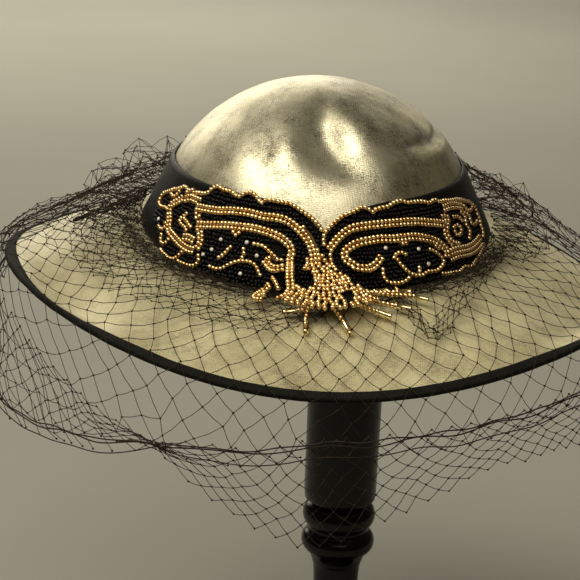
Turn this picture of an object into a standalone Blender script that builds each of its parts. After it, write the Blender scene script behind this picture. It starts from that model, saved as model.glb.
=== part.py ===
"""A wide-brim dress hat of stiffened metallic cloth, with its black satin band, beaded
front ornament, bound brim and net veil, standing on a plain turned hat stand.

Metres, +Z up.  The front of the hat looks along -Y.  The origin is the middle of the
stand's foot, on the surface it stands on.  An angle phi runs round the hat in degrees:
0 is the front, 90 is the wearer's left (+X), 180 the back.
"""

import math

import bmesh
import bpy
import numpy as np
from mathutils import Vector

# Driving dimensions of the hat, taken from its own centre on the head line
HAT_CENTRE = Vector((-0.0195, 0.0, 0.310))
HEAD_HALF_WIDTH = 0.0866        # outer crown wall at the head line, side to side
HEAD_HALF_LENGTH = 0.1007       # and front to back
HEAD_LINE_DIP = 0.0053          # how far the head line falls at the front and back
SHOULDER_HALF_WIDTH = 0.0706    # crown wall where the dome starts
SHOULDER_HALF_LENGTH = 0.0839
SHOULDER_HEIGHT = 0.0341
DOME_HEIGHT = 0.0386
DOME_START = math.radians(30)   # the dome leaves the wall at this angle past its equator
CLOTH = 0.0020                  # stiffened cloth wall of crown and brim
WALL_LEAN = 0.45                # rise of the wall's lower edge across its own thickness
GAP = 0.0003                    # gap between touching pieces

# The brim's outline and the height of its edge round the hat
BRIM_HALF_WIDTH = 0.1540
BRIM_FRONT_LENGTH = 0.1710
BRIM_BACK_LENGTH = 0.1650
BRIM_WIDTH = BRIM_HALF_WIDTH - HEAD_HALF_WIDTH
EDGE_DROP = 0.0233              # mean drop of the edge below the head line
EDGE_LEAN = 0.0057              # the left side of the wearer hangs lower
EDGE_WAVE = 0.0058              # three gentle waves round the edge
EDGE_TWIST = 0.0017
BRIM_CONVEX = 1.25              # above 1 the brim steepens towards its edge
UPTURN_START = 0.80             # share of the brim's width where its edge begins to turn up
UPTURN_CURVE = 1.5

# Columns: angle in the middle of an upturned stretch of the edge, half its length in
# degrees, and how far it lifts the edge in metres
UPTURNS = (
    (-56.0, 27.0, 0.0130),
    (68.0, 30.0, 0.0130),
)

BAND_THICK = 0.0012
BAND_NOTCH = 0.0095             # depth of the V at the centre front
BAND_NOTCH_HALF = 9.0           # degrees

BINDING_REACH = 0.0068          # how far the binding covers the brim
BINDING_THICK = 0.0012
BINDING_INWARD = (2, 6, 7)      # sides of its section that run from the edge inwards

ORNAMENT_THICK = 0.0016
PAD_THICK = 0.0038              # the bead cluster's pad, its reach over the brim and height
PAD_INNER = 0.0046
PAD_OUTER = 0.0135
PAD_LIFT = 0.0056

STRAND = 0.0026                 # width of one strand of the veil's net
NET_THICK = 0.0010
NET_COLUMNS = 30

# The stand
POST_RADIUS = 0.0190
HEAD_RADIUS = 0.0340
HEAD_CURVE = 0.0600             # radius of the stand head's rounded top
HEAD_TOP = 0.3708
FOOT_RADIUS = 0.0780
FOOT_THICK = 0.0160
POST_TOP = 0.3340

# Columns: angle in degrees, lower edge and upper edge in mm above the head line
ORNAMENT_OUTLINE = (
    (-67.5, 14.0, 20.0),
    (-64.0, 8.0, 24.5),
    (-60.0, 6.5, 26.8),
    (-55.0, 2.0, 29.6),
    (-51.0, -1.2, 29.2),
    (-46.0, -1.6, 30.2),
    (-42.0, -1.4, 31.4),
    (-39.0, -1.2, 34.4),
    (-35.0, -1.8, 34.9),
    (-28.5, -2.6, 33.0),
    (-24.5, -3.6, 35.4),
    (-19.5, -3.8, 32.2),
    (-16.0, -3.8, 33.6),
    (-11.0, -4.0, 33.2),
    (-7.0, -4.4, 31.4),
    (-4.0, -4.6, 28.0),
    (-1.0, -4.6, 23.2),
    (1.2, -4.6, 21.6),
    (3.2, -4.6, 23.4),
    (7.0, -4.6, 28.0),
    (11.0, -4.2, 31.0),
    (15.0, -4.0, 32.8),
    (19.0, -3.8, 31.2),
    (23.5, -3.6, 32.6),
    (26.0, -3.2, 32.0),
    (30.0, -2.6, 34.0),
    (34.0, -2.0, 32.0),
    (40.0, -1.6, 32.2),
    (46.0, -2.0, 31.0),
    (52.0, -2.6, 29.6),
    (58.0, -1.6, 28.4),
    (64.0, 2.6, 24.6),
    (69.0, 9.0, 19.0),
)

# Columns: angle the bead strand starts at, then its direction across the brim as the
# angle it ends at and how far out from the band it reaches, in mm
BEAD_STRANDS = (
    (-13.0, -15.0, 18.5),
    (-8.0, -9.5, 19.5),
    (-3.5, -4.5, 25.0),
    (1.0, 1.0, 21.0),
    (5.5, 8.5, 28.0),
    (10.0, 14.0, 20.0),
    (14.5, 21.0, 20.0),
    (18.5, 27.0, 19.5),
    (22.5, 32.5, 17.5),
)

# Columns: share of a bead strand's length and half its thickness there; its tip is a bugle
STRAND_SECTIONS = (
    (0.15, 0.0011),
    (0.60, 0.0010),
    (0.68, 0.0014),
    (1.00, 0.0014),
)

# Columns: angle, then the veil's height above the brim at the band, over the brim's edge,
# the share of the brim's width it stands out past the edge, and its hem's height, all mm
VEIL_FORM = (
    (-180, 20.0, 13.0, 0.30, -34.0),
    (-140, 24.0, 14.0, 0.30, -36.0),
    (-110, 14.0, 8.0, 0.26, -50.0),
    (-85, 3.5, 4.0, 0.16, -72.0),
    (-50, 3.5, 4.6, 0.11, -74.0),
    (-24, 3.5, 4.3, 0.10, -60.0),
    (-12, 3.5, 4.0, 0.08, -80.0),
    (-2, 3.5, 4.0, 0.08, -97.0),
    (14, 3.5, 4.0, 0.08, -82.0),
    (28, 3.5, 4.0, 0.08, -62.0),
    (52, 3.5, 4.6, 0.11, -68.0),
    (85, 4.5, 5.0, 0.18, -66.0),
    (110, 18.0, 12.0, 0.28, -50.0),
    (140, 28.0, 18.0, 0.32, -36.0),
    (180, 20.0, 13.0, 0.30, -34.0),
)

BLACK_LACQUER = ("black_lacquer", (0.012, 0.010, 0.009), 0.18, 0.0)
GOLD_CLOTH = ("gold_cloth", (0.52, 0.47, 0.28), 0.38, 0.75)
BLACK_SATIN = ("black_satin", (0.018, 0.018, 0.019), 0.40, 0.0)
BLACK_BRAID = ("black_braid", (0.012, 0.012, 0.012), 0.70, 0.0)
BLACK_SEQUIN = ("black_beading", (0.008, 0.008, 0.010), 0.25, 0.0)
GOLD_BEAD = ("gold_beads", (0.65, 0.40, 0.12), 0.25, 0.9)
NET_THREAD = ("net_thread", (0.020, 0.020, 0.018), 0.80, 0.0)


def clear_scene():
    """Empty the file before building."""
    for old in list(bpy.data.objects):
        bpy.data.objects.remove(old)


def material(spec):
    """The Principled material of one finish."""
    name, colour, roughness, metallic = spec
    made = bpy.data.materials.get(name) or bpy.data.materials.new(name)
    made.use_nodes = True
    shader = made.node_tree.nodes["Principled BSDF"]
    shader.inputs["Base Color"].default_value = (*colour, 1.0)
    shader.inputs["Roughness"].default_value = roughness
    shader.inputs["Metallic"].default_value = metallic
    return made


def add_object(name, bm, finish, smooth_angle=40):
    """Turn a bmesh into a named object with its material, shaded smooth."""
    bmesh.ops.recalc_face_normals(bm, faces=bm.faces[:])
    mesh = bpy.data.meshes.new(name)
    bm.to_mesh(mesh)
    bm.free()
    mesh.shade_smooth()
    mesh.set_sharp_from_angle(angle=math.radians(smooth_angle))
    mesh.materials.append(material(finish))
    made = bpy.data.objects.new(name, mesh)
    bpy.context.scene.collection.objects.link(made)
    return made


def add_thickness(made, thickness, offset):
    """Give an open sheet its wall.  offset -1 grows it inwards, 1 outwards, 0 both ways."""
    wall = made.modifiers.new("wall", "SOLIDIFY")
    wall.thickness = thickness
    wall.offset = offset
    wall.use_even_offset = True
    wall.use_rim = True


def grid_sheet(rows, closed):
    """A sheet of triangles through rows of points; closed joins each row's end to its start."""
    bm = bmesh.new()
    verts = [[bm.verts.new(point) for point in row] for row in rows]
    columns = len(rows[0])
    last = columns if closed else columns - 1
    for lower, upper in zip(verts, verts[1:]):
        for i in range(last):
            j = (i + 1) % columns
            bm.faces.new((lower[i], lower[j], upper[j]))
            bm.faces.new((lower[i], upper[j], upper[i]))
    return bm, verts


def angles(count):
    """Evenly spaced angles round the hat, in radians, starting at the front."""
    return [math.tau * i / count for i in range(count)]


def oval(phi, half_width, front, back, z):
    """A point on an oval round the hat's centre, whose back may be shorter than its front."""
    length = front if math.cos(phi) > 0 else back
    return HAT_CENTRE + Vector((half_width * math.sin(phi), -length * math.cos(phi), z))


def head_line(phi):
    """Height of the line where crown and brim meet: it falls at the front and back."""
    return -HEAD_LINE_DIP * math.cos(phi) ** 2


def edge_height(phi):
    """Height of the brim's edge: a mean drop, a lean to one side and three waves."""
    lean = EDGE_LEAN * math.sin(phi)
    twist = EDGE_TWIST * (math.sin(3 * phi) - math.sin(2 * phi))
    return -EDGE_DROP - lean + twist - EDGE_WAVE * math.cos(3 * phi)


def upturn(phi):
    """How far the brim's edge is turned up: a smooth hump at each upturned stretch."""
    degrees = math.degrees(math.atan2(math.sin(phi), math.cos(phi)))
    lift = 0.0
    for middle, half, height in UPTURNS:
        away = abs(degrees - middle) / half
        if away < 1.0:
            lift += height * math.cos(0.5 * math.pi * away) ** 2
    return lift


def brim_point(phi, share, lift=0.0):
    """A point on the brim's upper side: share 0 is the head line, 1 the edge."""
    width = HEAD_HALF_WIDTH + (BRIM_HALF_WIDTH - HEAD_HALF_WIDTH) * share
    front = HEAD_HALF_LENGTH + (BRIM_FRONT_LENGTH - HEAD_HALF_LENGTH) * share
    back = HEAD_HALF_LENGTH + (BRIM_BACK_LENGTH - HEAD_HALF_LENGTH) * share
    fall = max(share, 0.0) ** BRIM_CONVEX
    up = upturn(phi)
    turned = max(0.0, (share - UPTURN_START) / (1 - UPTURN_START)) ** UPTURN_CURVE
    z = head_line(phi) + (edge_height(phi) - up - head_line(phi)) * fall + up * turned
    return oval(phi, width, front, back, z + lift)


def wall_point(phi, height, outward=0.0):
    """A point on the crown's outer wall at a height above the head line."""
    share = height / SHOULDER_HEIGHT
    width = HEAD_HALF_WIDTH + (SHOULDER_HALF_WIDTH - HEAD_HALF_WIDTH) * share
    length = HEAD_HALF_LENGTH + (SHOULDER_HALF_LENGTH - HEAD_HALF_LENGTH) * share
    return oval(phi, width + outward, length + outward, length + outward, height)


def dome_point(phi, rise):
    """A point on the dome: rise 0 is its shoulder, 1 its crown, with the front crease."""
    turn = DOME_START + (math.pi / 2 - DOME_START) * rise
    spread = math.cos(turn) / math.cos(DOME_START)
    lift = (math.sin(turn) - math.sin(DOME_START)) / (1 - math.sin(DOME_START))
    from_front = math.degrees(math.atan2(math.sin(phi), math.cos(phi)))
    crease = 0.0030 * math.exp(-(((from_front - 1.0) / 13.0) ** 2) - ((rise - 0.42) / 0.26) ** 2)
    width = SHOULDER_HALF_WIDTH * spread
    length = SHOULDER_HALF_LENGTH * spread - crease
    return oval(phi, width, length, length, SHOULDER_HEIGHT + DOME_HEIGHT * lift - crease)


def make_crown():
    """The crown: one stiffened shell, open below, with a soft crease at the front."""
    phis = angles(48)
    foot = CLOTH * WALL_LEAN + 2 * GAP
    rows = [[wall_point(phi, head_line(phi) + foot) for phi in phis]]
    rows += [[wall_point(phi, SHOULDER_HEIGHT * share) for phi in phis] for share in (0.35, 0.70)]
    rows += [[dome_point(phi, rise) for phi in phis] for rise in (0, 0.1, 0.22, 0.35, 0.5, 0.66, 0.83)]
    bm, verts = grid_sheet(rows, closed=True)
    crown_top = bm.verts.new(dome_point(0.0, 1.0))
    for i, vert in enumerate(verts[-1]):
        bm.faces.new((vert, verts[-1][(i + 1) % len(phis)], crown_top))
    made = add_object("crown", bm, GOLD_CLOTH)
    add_thickness(made, CLOTH, -1)


def make_brim():
    """The brim: a waved ring of the same cloth, its inner margin under the crown's wall."""
    phis = angles(64)
    shares = (-0.045, 0.0, 0.3, 0.58, 0.8, 1.0 - BINDING_REACH / BRIM_WIDTH, 1.0)
    rows = [[brim_point(phi, share) for phi in phis] for share in shares]
    bm, _ = grid_sheet(rows, closed=True)
    made = add_object("brim", bm, GOLD_CLOTH)
    add_thickness(made, CLOTH, -1)


def binding_section(phi):
    """The C-shaped section of the folded binding round the brim's edge at one angle."""
    start = 1.0 - BINDING_REACH / BRIM_WIDTH
    inner_top = brim_point(phi, start)
    inner_edge = brim_point(phi, 1.0)
    outward = (inner_edge - inner_top).normalized()
    up = Vector((0, 0, 1)) - outward * outward.z
    up.normalize()
    room = 2.5 * GAP
    top, low = room, -CLOTH - room
    out = 0.5 * (CLOTH + BINDING_THICK)
    middle = 0.5 * (top + low)
    corners = (
        (inner_top, 0, top),
        (inner_edge, room, top),
        (inner_edge, room, low),
        (inner_top, 0, low),
        (inner_top, 0, low - BINDING_THICK),
        (inner_edge, room, low - BINDING_THICK),
        (inner_edge, room + out, middle),
        (inner_edge, room, top + BINDING_THICK),
        (inner_top, 0, top + BINDING_THICK),
    )
    return [base + outward * along + up * height for base, along, height in corners]


def make_binding():
    """The black binding: a folded strip with the brim's edge inside it."""
    sections = [binding_section(phi) for phi in angles(64)]
    bm = bmesh.new()
    verts = [[bm.verts.new(point) for point in section] for section in sections]
    corners = len(verts[0])
    for i, here in enumerate(verts):
        after = verts[(i + 1) % len(verts)]
        for k in range(corners):
            m = (k + 1) % corners
            if k in BINDING_INWARD:
                bm.faces.new((here[k], here[m], after[k]))
                bm.faces.new((here[m], after[m], after[k]))
            else:
                bm.faces.new((here[k], here[m], after[m]))
                bm.faces.new((here[k], after[m], after[k]))
    add_object("brim_binding", bm, BLACK_BRAID)


def band_top(phi):
    """Upper edge of the band, level but for a V at the centre front."""
    degrees = abs(math.degrees(math.atan2(math.sin(phi), math.cos(phi))) - 1.2)
    notch = BAND_NOTCH * max(0.0, 1.0 - degrees / BAND_NOTCH_HALF)
    return SHOULDER_HEIGHT - 0.0010 - notch


def make_band():
    """The satin band: a flared ring that follows the crown's wall."""
    phis = [math.radians(7.5 * i + 1.2) for i in range(48)]
    rows = []
    for share in (0.0, 0.33, 0.67, 1.0):
        row = []
        for phi in phis:
            low = head_line(phi) + 2 * GAP
            row.append(wall_point(phi, low + (band_top(phi) - low) * share, GAP + 0.0002))
        rows.append(row)
    bm, _ = grid_sheet(rows, closed=True)
    made = add_object("satin_band", bm, BLACK_SATIN)
    add_thickness(made, BAND_THICK, 1)


def make_ornament():
    """The beaded ornament's backing: a thin scalloped plate curved round the band."""
    outward = 0.0023
    rows = [[], [], [], []]
    for degrees, low, high in ORNAMENT_OUTLINE:
        phi = math.radians(degrees)
        floor = 1000 * head_line(phi) + 1.6
        low = max(low, floor)
        for row, share in zip(rows, (0.0, 0.33, 0.67, 1.0)):
            row.append(wall_point(phi, (low + (high - low) * share) / 1000, outward))
    bm, _ = grid_sheet(rows, closed=False)
    made = add_object("beaded_ornament", bm, BLACK_SEQUIN)
    add_thickness(made, ORNAMENT_THICK, 1)


def on_brim(degrees, out, lift):
    """A point over the brim, out from the band's foot by so many metres."""
    phi = math.radians(degrees)
    share = out / (BRIM_FRONT_LENGTH - HEAD_HALF_LENGTH)
    return brim_point(phi, share, lift)


def strand_section(start, end, reach, share, half):
    """Four corners round a bead strand at a share of its length, set square to its run."""
    degrees = start + (end - start) * share
    out = PAD_OUTER + (reach / 1000 - PAD_OUTER) * share
    centre = on_brim(degrees, out, PAD_LIFT + 0.0016)
    run = on_brim(end, reach / 1000, 0) - on_brim(start, PAD_OUTER, 0)
    side = Vector((-run.y, run.x, 0)).normalized() * half
    up = Vector((0, 0, half))
    return [centre - side - up, centre + side - up, centre + side + up, centre - side + up]


def make_tassel():
    """The bead cluster at the centre front: a pad with strands of beads fused to its rim."""
    edges = []
    for start, _, _ in BEAD_STRANDS:
        edges += [start - 0.8, start + 0.8]
    bm = bmesh.new()
    ring = {}
    for name, out, rise in (("low_in", PAD_INNER, 0.0), ("low_out", PAD_OUTER, 0.0),
                            ("top_out", PAD_OUTER, PAD_THICK * 0.85), ("top_in", PAD_INNER, PAD_THICK * 1.9)):
        ring[name] = [bm.verts.new(on_brim(d, out, PAD_LIFT + rise)) for d in edges]
    order = ("low_in", "low_out", "top_out", "top_in")
    last = len(edges) - 1
    for i in range(last):
        for name, after in zip(order, order[1:] + order[:1]):
            if name == "low_out" and i % 2 == 0:
                continue
            bm.faces.new((ring[name][i], ring[name][i + 1], ring[after][i + 1], ring[after][i]))
    for i in (0, last):
        bm.faces.new([ring[name][i] for name in order])
    for k, (start, end, reach) in enumerate(BEAD_STRANDS):
        i = 2 * k
        here = [ring["low_out"][i], ring["low_out"][i + 1], ring["top_out"][i + 1], ring["top_out"][i]]
        for share, half in STRAND_SECTIONS:
            after = [bm.verts.new(p) for p in strand_section(start, end, reach, share, half)]
            for m in range(4):
                bm.faces.new((here[m], here[m - 1], after[m - 1], after[m]))
            here = after
        bm.faces.new(here)
    bmesh.ops.triangulate(bm, faces=bm.faces[:])
    add_object("bead_tassel", bm, GOLD_BEAD)


def veil_form(degrees):
    """The veil's form at one angle, between the rows of its table."""
    wrapped = (degrees + 180) % 360 - 180
    table = np.array(VEIL_FORM, float)
    return [float(np.interp(wrapped, table[:, 0], table[:, k])) for k in range(1, 5)]


def veil_point(degrees, row):
    """A knot of the net: row 0 at the band, 1 on the brim, 2 past its edge, 3 at the hem."""
    at_band, at_edge, past, hem = veil_form(degrees)
    phi = math.radians(degrees)
    if row == 0:
        return brim_point(phi, 0.115, at_band / 1000)
    spans = 0.6 * upturn(phi)
    if row == 1:
        return brim_point(phi, 0.60, (0.45 * at_band + 0.55 * at_edge) / 1000 + 0.0012 + spans)
    if row == 2:
        outside = brim_point(phi, 1.0 + past)
        over_edge = brim_point(phi, 1.0).z + (at_edge - 12.0 * past) / 1000 + 0.05 * spans
        return Vector((outside.x, outside.y, over_edge))
    outside = brim_point(phi, 1.06 + past)
    return Vector((outside.x, outside.y, HAT_CENTRE.z + hem / 1000))


def net_knots():
    """Knots of the diamond net, alternate rows set over by half a column."""
    pitch = 360 / NET_COLUMNS
    return [[veil_point(pitch * (i + 0.5 * (row % 2)), row) for i in range(NET_COLUMNS)] for row in range(4)]


def net_holes(rows):
    """Every opening of the net as a list of its knots' keys, and the two outer cords."""
    count = NET_COLUMNS
    holes = []
    for row in range(1, rows - 1):
        set_over = row % 2
        for i in range(count):
            beside = (i + 1) % count
            tip = beside if set_over else i
            if not set_over:
                tip = i
            holes.append([(row, i), (row + 1, tip), (row, beside), (row - 1, tip)])
    for i in range(count):
        beside = (i + 1) % count
        holes.append([(0, i), (1, i), (0, beside)])
        holes.append([(rows - 1, i), (rows - 1, beside), (rows - 2, beside)])
    return holes


def inset_corner(corner, before, after, width):
    """Move a corner of an opening inwards so that half a strand is left round it."""
    one, two = (before - corner).normalized(), (after - corner).normalized()
    half_angle = 0.5 * one.angle(two)
    return corner + (one + two).normalized() * (0.5 * width / math.sin(half_angle))


def make_veil():
    """The net veil: a sheet of strands round diamond openings, laid over the brim."""
    knots = net_knots()
    bm = bmesh.new()
    knot_verts = {(r, i): bm.verts.new(p) for r, row in enumerate(knots) for i, p in enumerate(row)}
    for hole in net_holes(len(knots)):
        corners = [knots[r][i] for r, i in hole]
        size = len(hole)
        inner = []
        for k, corner in enumerate(corners):
            before, after = corners[k - 1], corners[(k + 1) % size]
            inner.append(bm.verts.new(inset_corner(corner, before, after, STRAND)))
        for k in range(size):
            m = (k + 1) % size
            bm.faces.new((knot_verts[hole[k]], knot_verts[hole[m]], inner[m], inner[k]))
    for row, outward in ((0, Vector((0, 0, 1))), (len(knots) - 1, Vector((0, 0, -1)))):
        outer = [bm.verts.new(p + outward * (0.5 * STRAND)) for p in knots[row]]
        for i in range(NET_COLUMNS):
            j = (i + 1) % NET_COLUMNS
            bm.faces.new((knot_verts[(row, i)], knot_verts[(row, j)], outer[j], outer[i]))
    made = add_object("net_veil", bm, NET_THREAD)
    add_thickness(made, NET_THICK, 0)


def make_turned(name, profile, sides=28):
    """A turned piece of the stand from its profile of radius and height, closed at both ends."""
    bm = bmesh.new()
    rings = []
    for radius, z in profile:
        if radius == 0.0:
            rings.append([bm.verts.new((0, 0, z))] * sides)
        else:
            rings.append([bm.verts.new((radius * math.cos(a), radius * math.sin(a), z)) for a in angles(sides)])
    for lower, upper in zip(rings, rings[1:]):
        for i in range(sides):
            j = (i + 1) % sides
            corners = dict.fromkeys((lower[i], lower[j], upper[j], upper[i]))
            bm.faces.new(tuple(corners))
    add_object(name, bm, BLACK_LACQUER)


def arc(centre_r, centre_z, radius, start, end, steps):
    """Points of radius and height along an arc, from one angle to another in degrees."""
    turns = [math.radians(start + (end - start) * k / steps) for k in range(steps + 1)]
    return [(centre_r + radius * math.cos(t), centre_z + radius * math.sin(t)) for t in turns]


def make_stand():
    """The stand: a plain round foot, a turned post with two rings, and a rounded head."""
    foot_edge = 0.5 * FOOT_THICK
    foot = [(0.0, 0.0), (FOOT_RADIUS - 0.002, 0.0)]
    foot += arc(FOOT_RADIUS - foot_edge, foot_edge, foot_edge, -70, 80, 5)
    foot += [(0.030, FOOT_THICK + 0.003), (0.0, FOOT_THICK + 0.003)]
    make_turned("stand_foot", foot, sides=40)

    low = FOOT_THICK + 0.003 + GAP
    ring_low, ring_mid, ring_top = 0.1290, 0.1425, 0.1590
    post = [(0.0, low), (0.0240, low), (0.0215, low + 0.006), (0.0160, low + 0.012), (0.0130, low + 0.030)]
    post += [(0.0118, 0.0950), (0.0122, 0.1180), (0.0136, 0.1250)]
    post += arc(POST_RADIUS - 0.0062, 0.5 * (ring_low + ring_mid), 0.0066, -70, 62, 4)
    post += arc(POST_RADIUS - 0.0078, 0.5 * (ring_mid + ring_top), 0.0080, -62, 70, 4)
    post += [(POST_RADIUS - 0.0004, ring_top + 0.0015), (POST_RADIUS + 0.0004, 0.235), (POST_RADIUS, POST_TOP), (0.0, POST_TOP)]
    make_turned("stand_post", post)

    seat = POST_TOP + GAP
    reach = math.asin((HEAD_RADIUS - 0.002) / HEAD_CURVE)
    top = HEAD_TOP
    cap = []
    for k in range(6):
        t = reach * (1 - k / 5)
        cap.append((HEAD_CURVE * math.sin(t), top - HEAD_CURVE * (1 - math.cos(t))))
    side = cap[0][1] - 0.003
    head = [(0.0, seat), (POST_RADIUS + 0.001, seat), (HEAD_RADIUS - 0.003, side - 0.010), (HEAD_RADIUS, side)]
    make_turned("stand_head", head + cap)


def main():
    """Build every piece of the hat and its stand."""
    clear_scene()
    make_crown()
    make_brim()
    make_binding()
    make_band()
    make_ornament()
    make_tassel()
    make_veil()
    make_stand()


main()
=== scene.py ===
# %% Load the fixed frame
import math

import bpy
import numpy as np
from mathutils import Matrix


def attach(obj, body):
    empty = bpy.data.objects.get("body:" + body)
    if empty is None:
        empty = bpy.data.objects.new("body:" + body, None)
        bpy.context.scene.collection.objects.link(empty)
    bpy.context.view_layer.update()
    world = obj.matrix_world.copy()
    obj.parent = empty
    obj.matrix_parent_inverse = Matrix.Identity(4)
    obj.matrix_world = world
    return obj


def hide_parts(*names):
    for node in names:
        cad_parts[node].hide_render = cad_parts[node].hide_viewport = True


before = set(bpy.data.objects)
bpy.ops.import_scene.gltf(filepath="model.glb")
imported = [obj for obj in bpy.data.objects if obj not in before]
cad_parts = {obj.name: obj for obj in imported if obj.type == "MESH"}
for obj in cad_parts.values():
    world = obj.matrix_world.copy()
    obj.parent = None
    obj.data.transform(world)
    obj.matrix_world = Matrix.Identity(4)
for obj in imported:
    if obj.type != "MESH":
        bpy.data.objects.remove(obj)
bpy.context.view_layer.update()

print("the packed model holds", sorted(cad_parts))

# %% [markdown]
# The hat is an egg-shaped crown with a wide waved brim, and nearly everything on it follows those
# two forms. They could be modelled by hand, but then the band, the beads and the net would have to
# be fitted by eye. Here each form is a small function of an angle round the hat (0 is the front,
# 90 degrees is the right side) and a second number, so every later piece can ask where it belongs.

# %% The forms of the hat as functions
HAT_CENTRE = np.array([-0.0195, 0.0, 0.310])
WALL_TOP = 0.0341                                # height of the crown's wall
HEAD_SIDE, HEAD_END = 0.0866, 0.1007             # half width and half length at the head line
LEAN_SIDE, LEAN_END = 0.0160, 0.0168             # how far the wall has closed in at its top
BRIM_SIDE, BRIM_LENGTH, BRIM_BACK = 0.0674, 0.0703, 0.0643     # how far the brim runs out
UPTURNS = ((-56, 27, 0.0130), (68, 30, 0.0130))  # middle, half width, height


def oval(phi, half_width, front, back, height):
    """Half width times the sine sideways, and the front or back length times the cosine forwards."""
    phi, half_width, front, back, height = np.broadcast_arrays(phi, half_width, front, back, height)
    length = np.where(np.cos(phi) > 0, front, back)
    return np.stack([half_width * np.sin(phi), -length * np.cos(phi), height], -1) + HAT_CENTRE


def head_line(phi):
    """The foot of the crown dips by 5.3 mm times the squared cosine, at front and back."""
    return -0.0053 * np.cos(phi) ** 2


def upturn(phi):
    """The rim rises in two places, each a squared cosine bump round its middle."""
    rise = np.zeros_like(phi)
    for middle, half, height in UPTURNS:
        off = np.abs((np.degrees(phi) - middle + 180) % 360 - 180)
        rise = rise + np.where(off < half, height * np.cos(0.5 * np.pi * off / half) ** 2, 0)
    return rise


def edge_height(phi):
    """The rim's level: a mean drop with one, two and three waves round the hat."""
    return (-0.0233 - 0.0057 * np.sin(phi) + 0.0017 * (np.sin(3 * phi) - np.sin(2 * phi))
            - 0.0058 * np.cos(3 * phi))


def brim_point(phi, share, lift=0.0):
    """From the head line (share 0) to the rim (share 1): a drop on share to the 1.25, then the upturn."""
    head, up = head_line(phi), upturn(phi)
    drop = (edge_height(phi) - up - head) * np.maximum(share, 0) ** 1.25
    turn = up * np.maximum(0, (share - 0.80) / 0.20) ** 1.5
    front, back = HEAD_END + BRIM_LENGTH * share, HEAD_END + BRIM_BACK * share
    return oval(phi, HEAD_SIDE + BRIM_SIDE * share, front, back, head + drop + turn + lift)


def wall_point(phi, height, outward=0.0):
    """The leaning wall of the crown: it closes in by 16 mm each side over its 34 mm of height."""
    share = height / WALL_TOP
    length = HEAD_END - LEAN_END * share + outward
    return oval(phi, HEAD_SIDE - LEAN_SIDE * share + outward, length, length, height)


print("rim from", round(float(edge_height(np.linspace(0, 6.28, 99)).min()), 4), "m below the head line")

# %% [markdown]
# Two small tools make every mesh. A skin is a grid of points turned into faces, and it may close on
# itself round the hat or at a pole. Copies are one small closed form, such as a bead, set at many
# places in one array step, which is far faster than adding them one by one.

# %% From arrays to an object
def as_mesh(name, verts, faces, material, uv=None):
    """Puts arrays of corners and equal-sided faces into a new object; uv holds one pair a vertex."""
    mesh = bpy.data.meshes.new(name)
    groups = faces if isinstance(faces, list) else [faces]
    loops = np.concatenate([f.ravel() for f in groups]).astype(np.int32)
    totals = np.concatenate([np.full(len(f), f.shape[1]) for f in groups]).astype(np.int32)
    mesh.vertices.add(len(verts))
    mesh.vertices.foreach_set("co", np.asarray(verts, np.float32).ravel())
    mesh.loops.add(len(loops))
    mesh.loops.foreach_set("vertex_index", loops)
    mesh.polygons.add(len(totals))
    mesh.polygons.foreach_set("loop_start", (np.cumsum(totals) - totals).astype(np.int32))
    mesh.polygons.foreach_set("loop_total", totals)
    mesh.polygons.foreach_set("use_smooth", np.ones(len(totals), bool))
    mesh.update(calc_edges=True)
    mesh.validate()
    if uv is not None:
        layer = mesh.uv_layers.new(name="cloth")
        index = np.empty(len(mesh.loops), np.int32)
        mesh.loops.foreach_get("vertex_index", index)
        layer.data.foreach_set("uv", np.asarray(uv, np.float32)[index].ravel())
    mesh.materials.append(material)
    made = bpy.data.objects.new(name, mesh)
    bpy.context.scene.collection.objects.link(made)
    return made


print("from here on one call makes a mesh object")

# %% Faces of a grid
def grid_faces(rows, columns, around=True, loop=False):
    """Four corners a face between neighbouring rows and columns, wrapped where asked."""
    i = np.arange(rows if loop else rows - 1)[:, None]
    j = np.arange(columns if around else columns - 1)[None, :]
    i2, j2 = (i + 1) % rows, (j + 1) % columns
    corners = [i * columns + j, i * columns + j2, i2 * columns + j2, i2 * columns + j]
    return np.stack(np.broadcast_arrays(*corners), -1).reshape(-1, 4)


def end_fans(rows, columns):
    """Triangles that close the first and the last row of a grid onto the two centres stored after it."""
    j = np.arange(columns)
    beside, last, centre = (j + 1) % columns, (rows - 1) * columns, j * 0 + rows * columns
    low, high = (centre, beside, j), (last + j, last + beside, centre + 1)
    return np.concatenate([np.stack(low, 1), np.stack(high, 1)])


tube = len(grid_faces(3, 4)), len(end_fans(3, 4))
print("a tube of 3 rings of 4 points has so many side and end faces:", tube)

# %% Directions, soft waves and the record of a piece
def finish_piece(piece, slot, *nodes):
    """Each piece rides on the one body and stands for its solids; the slot is not used."""
    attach(piece, "root")
    if nodes:
        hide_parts(*nodes)
    piece.data.calc_loop_triangles()
    print(f"{piece.name}: {len(piece.data.loop_triangles)} triangles")
    return piece


def unit(v):
    """A vector divided by its own length."""
    return v / np.maximum(np.linalg.norm(v, axis=-1, keepdims=True), 1e-12)


def from_axis(points):
    """The level direction from the hat's upright axis to each point."""
    return unit((points - HAT_CENTRE) * (1, 1, 0))


def soft_noise(u, v, seed):
    """A smooth wander from -1 to 1: five sine waves of unlike lengths and directions, averaged."""
    total = 0.0
    for n in range(5):
        a = seed * 1.7 + n * 2.399
        f = 1.0 + 0.63 * n
        total = total + np.sin(f * (u * np.cos(a) + v * np.sin(a)) + 3.1 * a)
    return total / 5 * 1.4


waves = [round(float(soft_noise(1.0, 2.0, seed)), 2) for seed in (1, 2, 3)]
print("soft waves at one point for three seeds:", waves)

# %% [markdown]
# Every surface gets its finish from shader nodes. The same few nodes come back again and again, so a
# short helper adds one and links it. Colours are linear values; what is equal all over a surface is
# written straight on the shader's own socket, so it survives the export.

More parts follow.
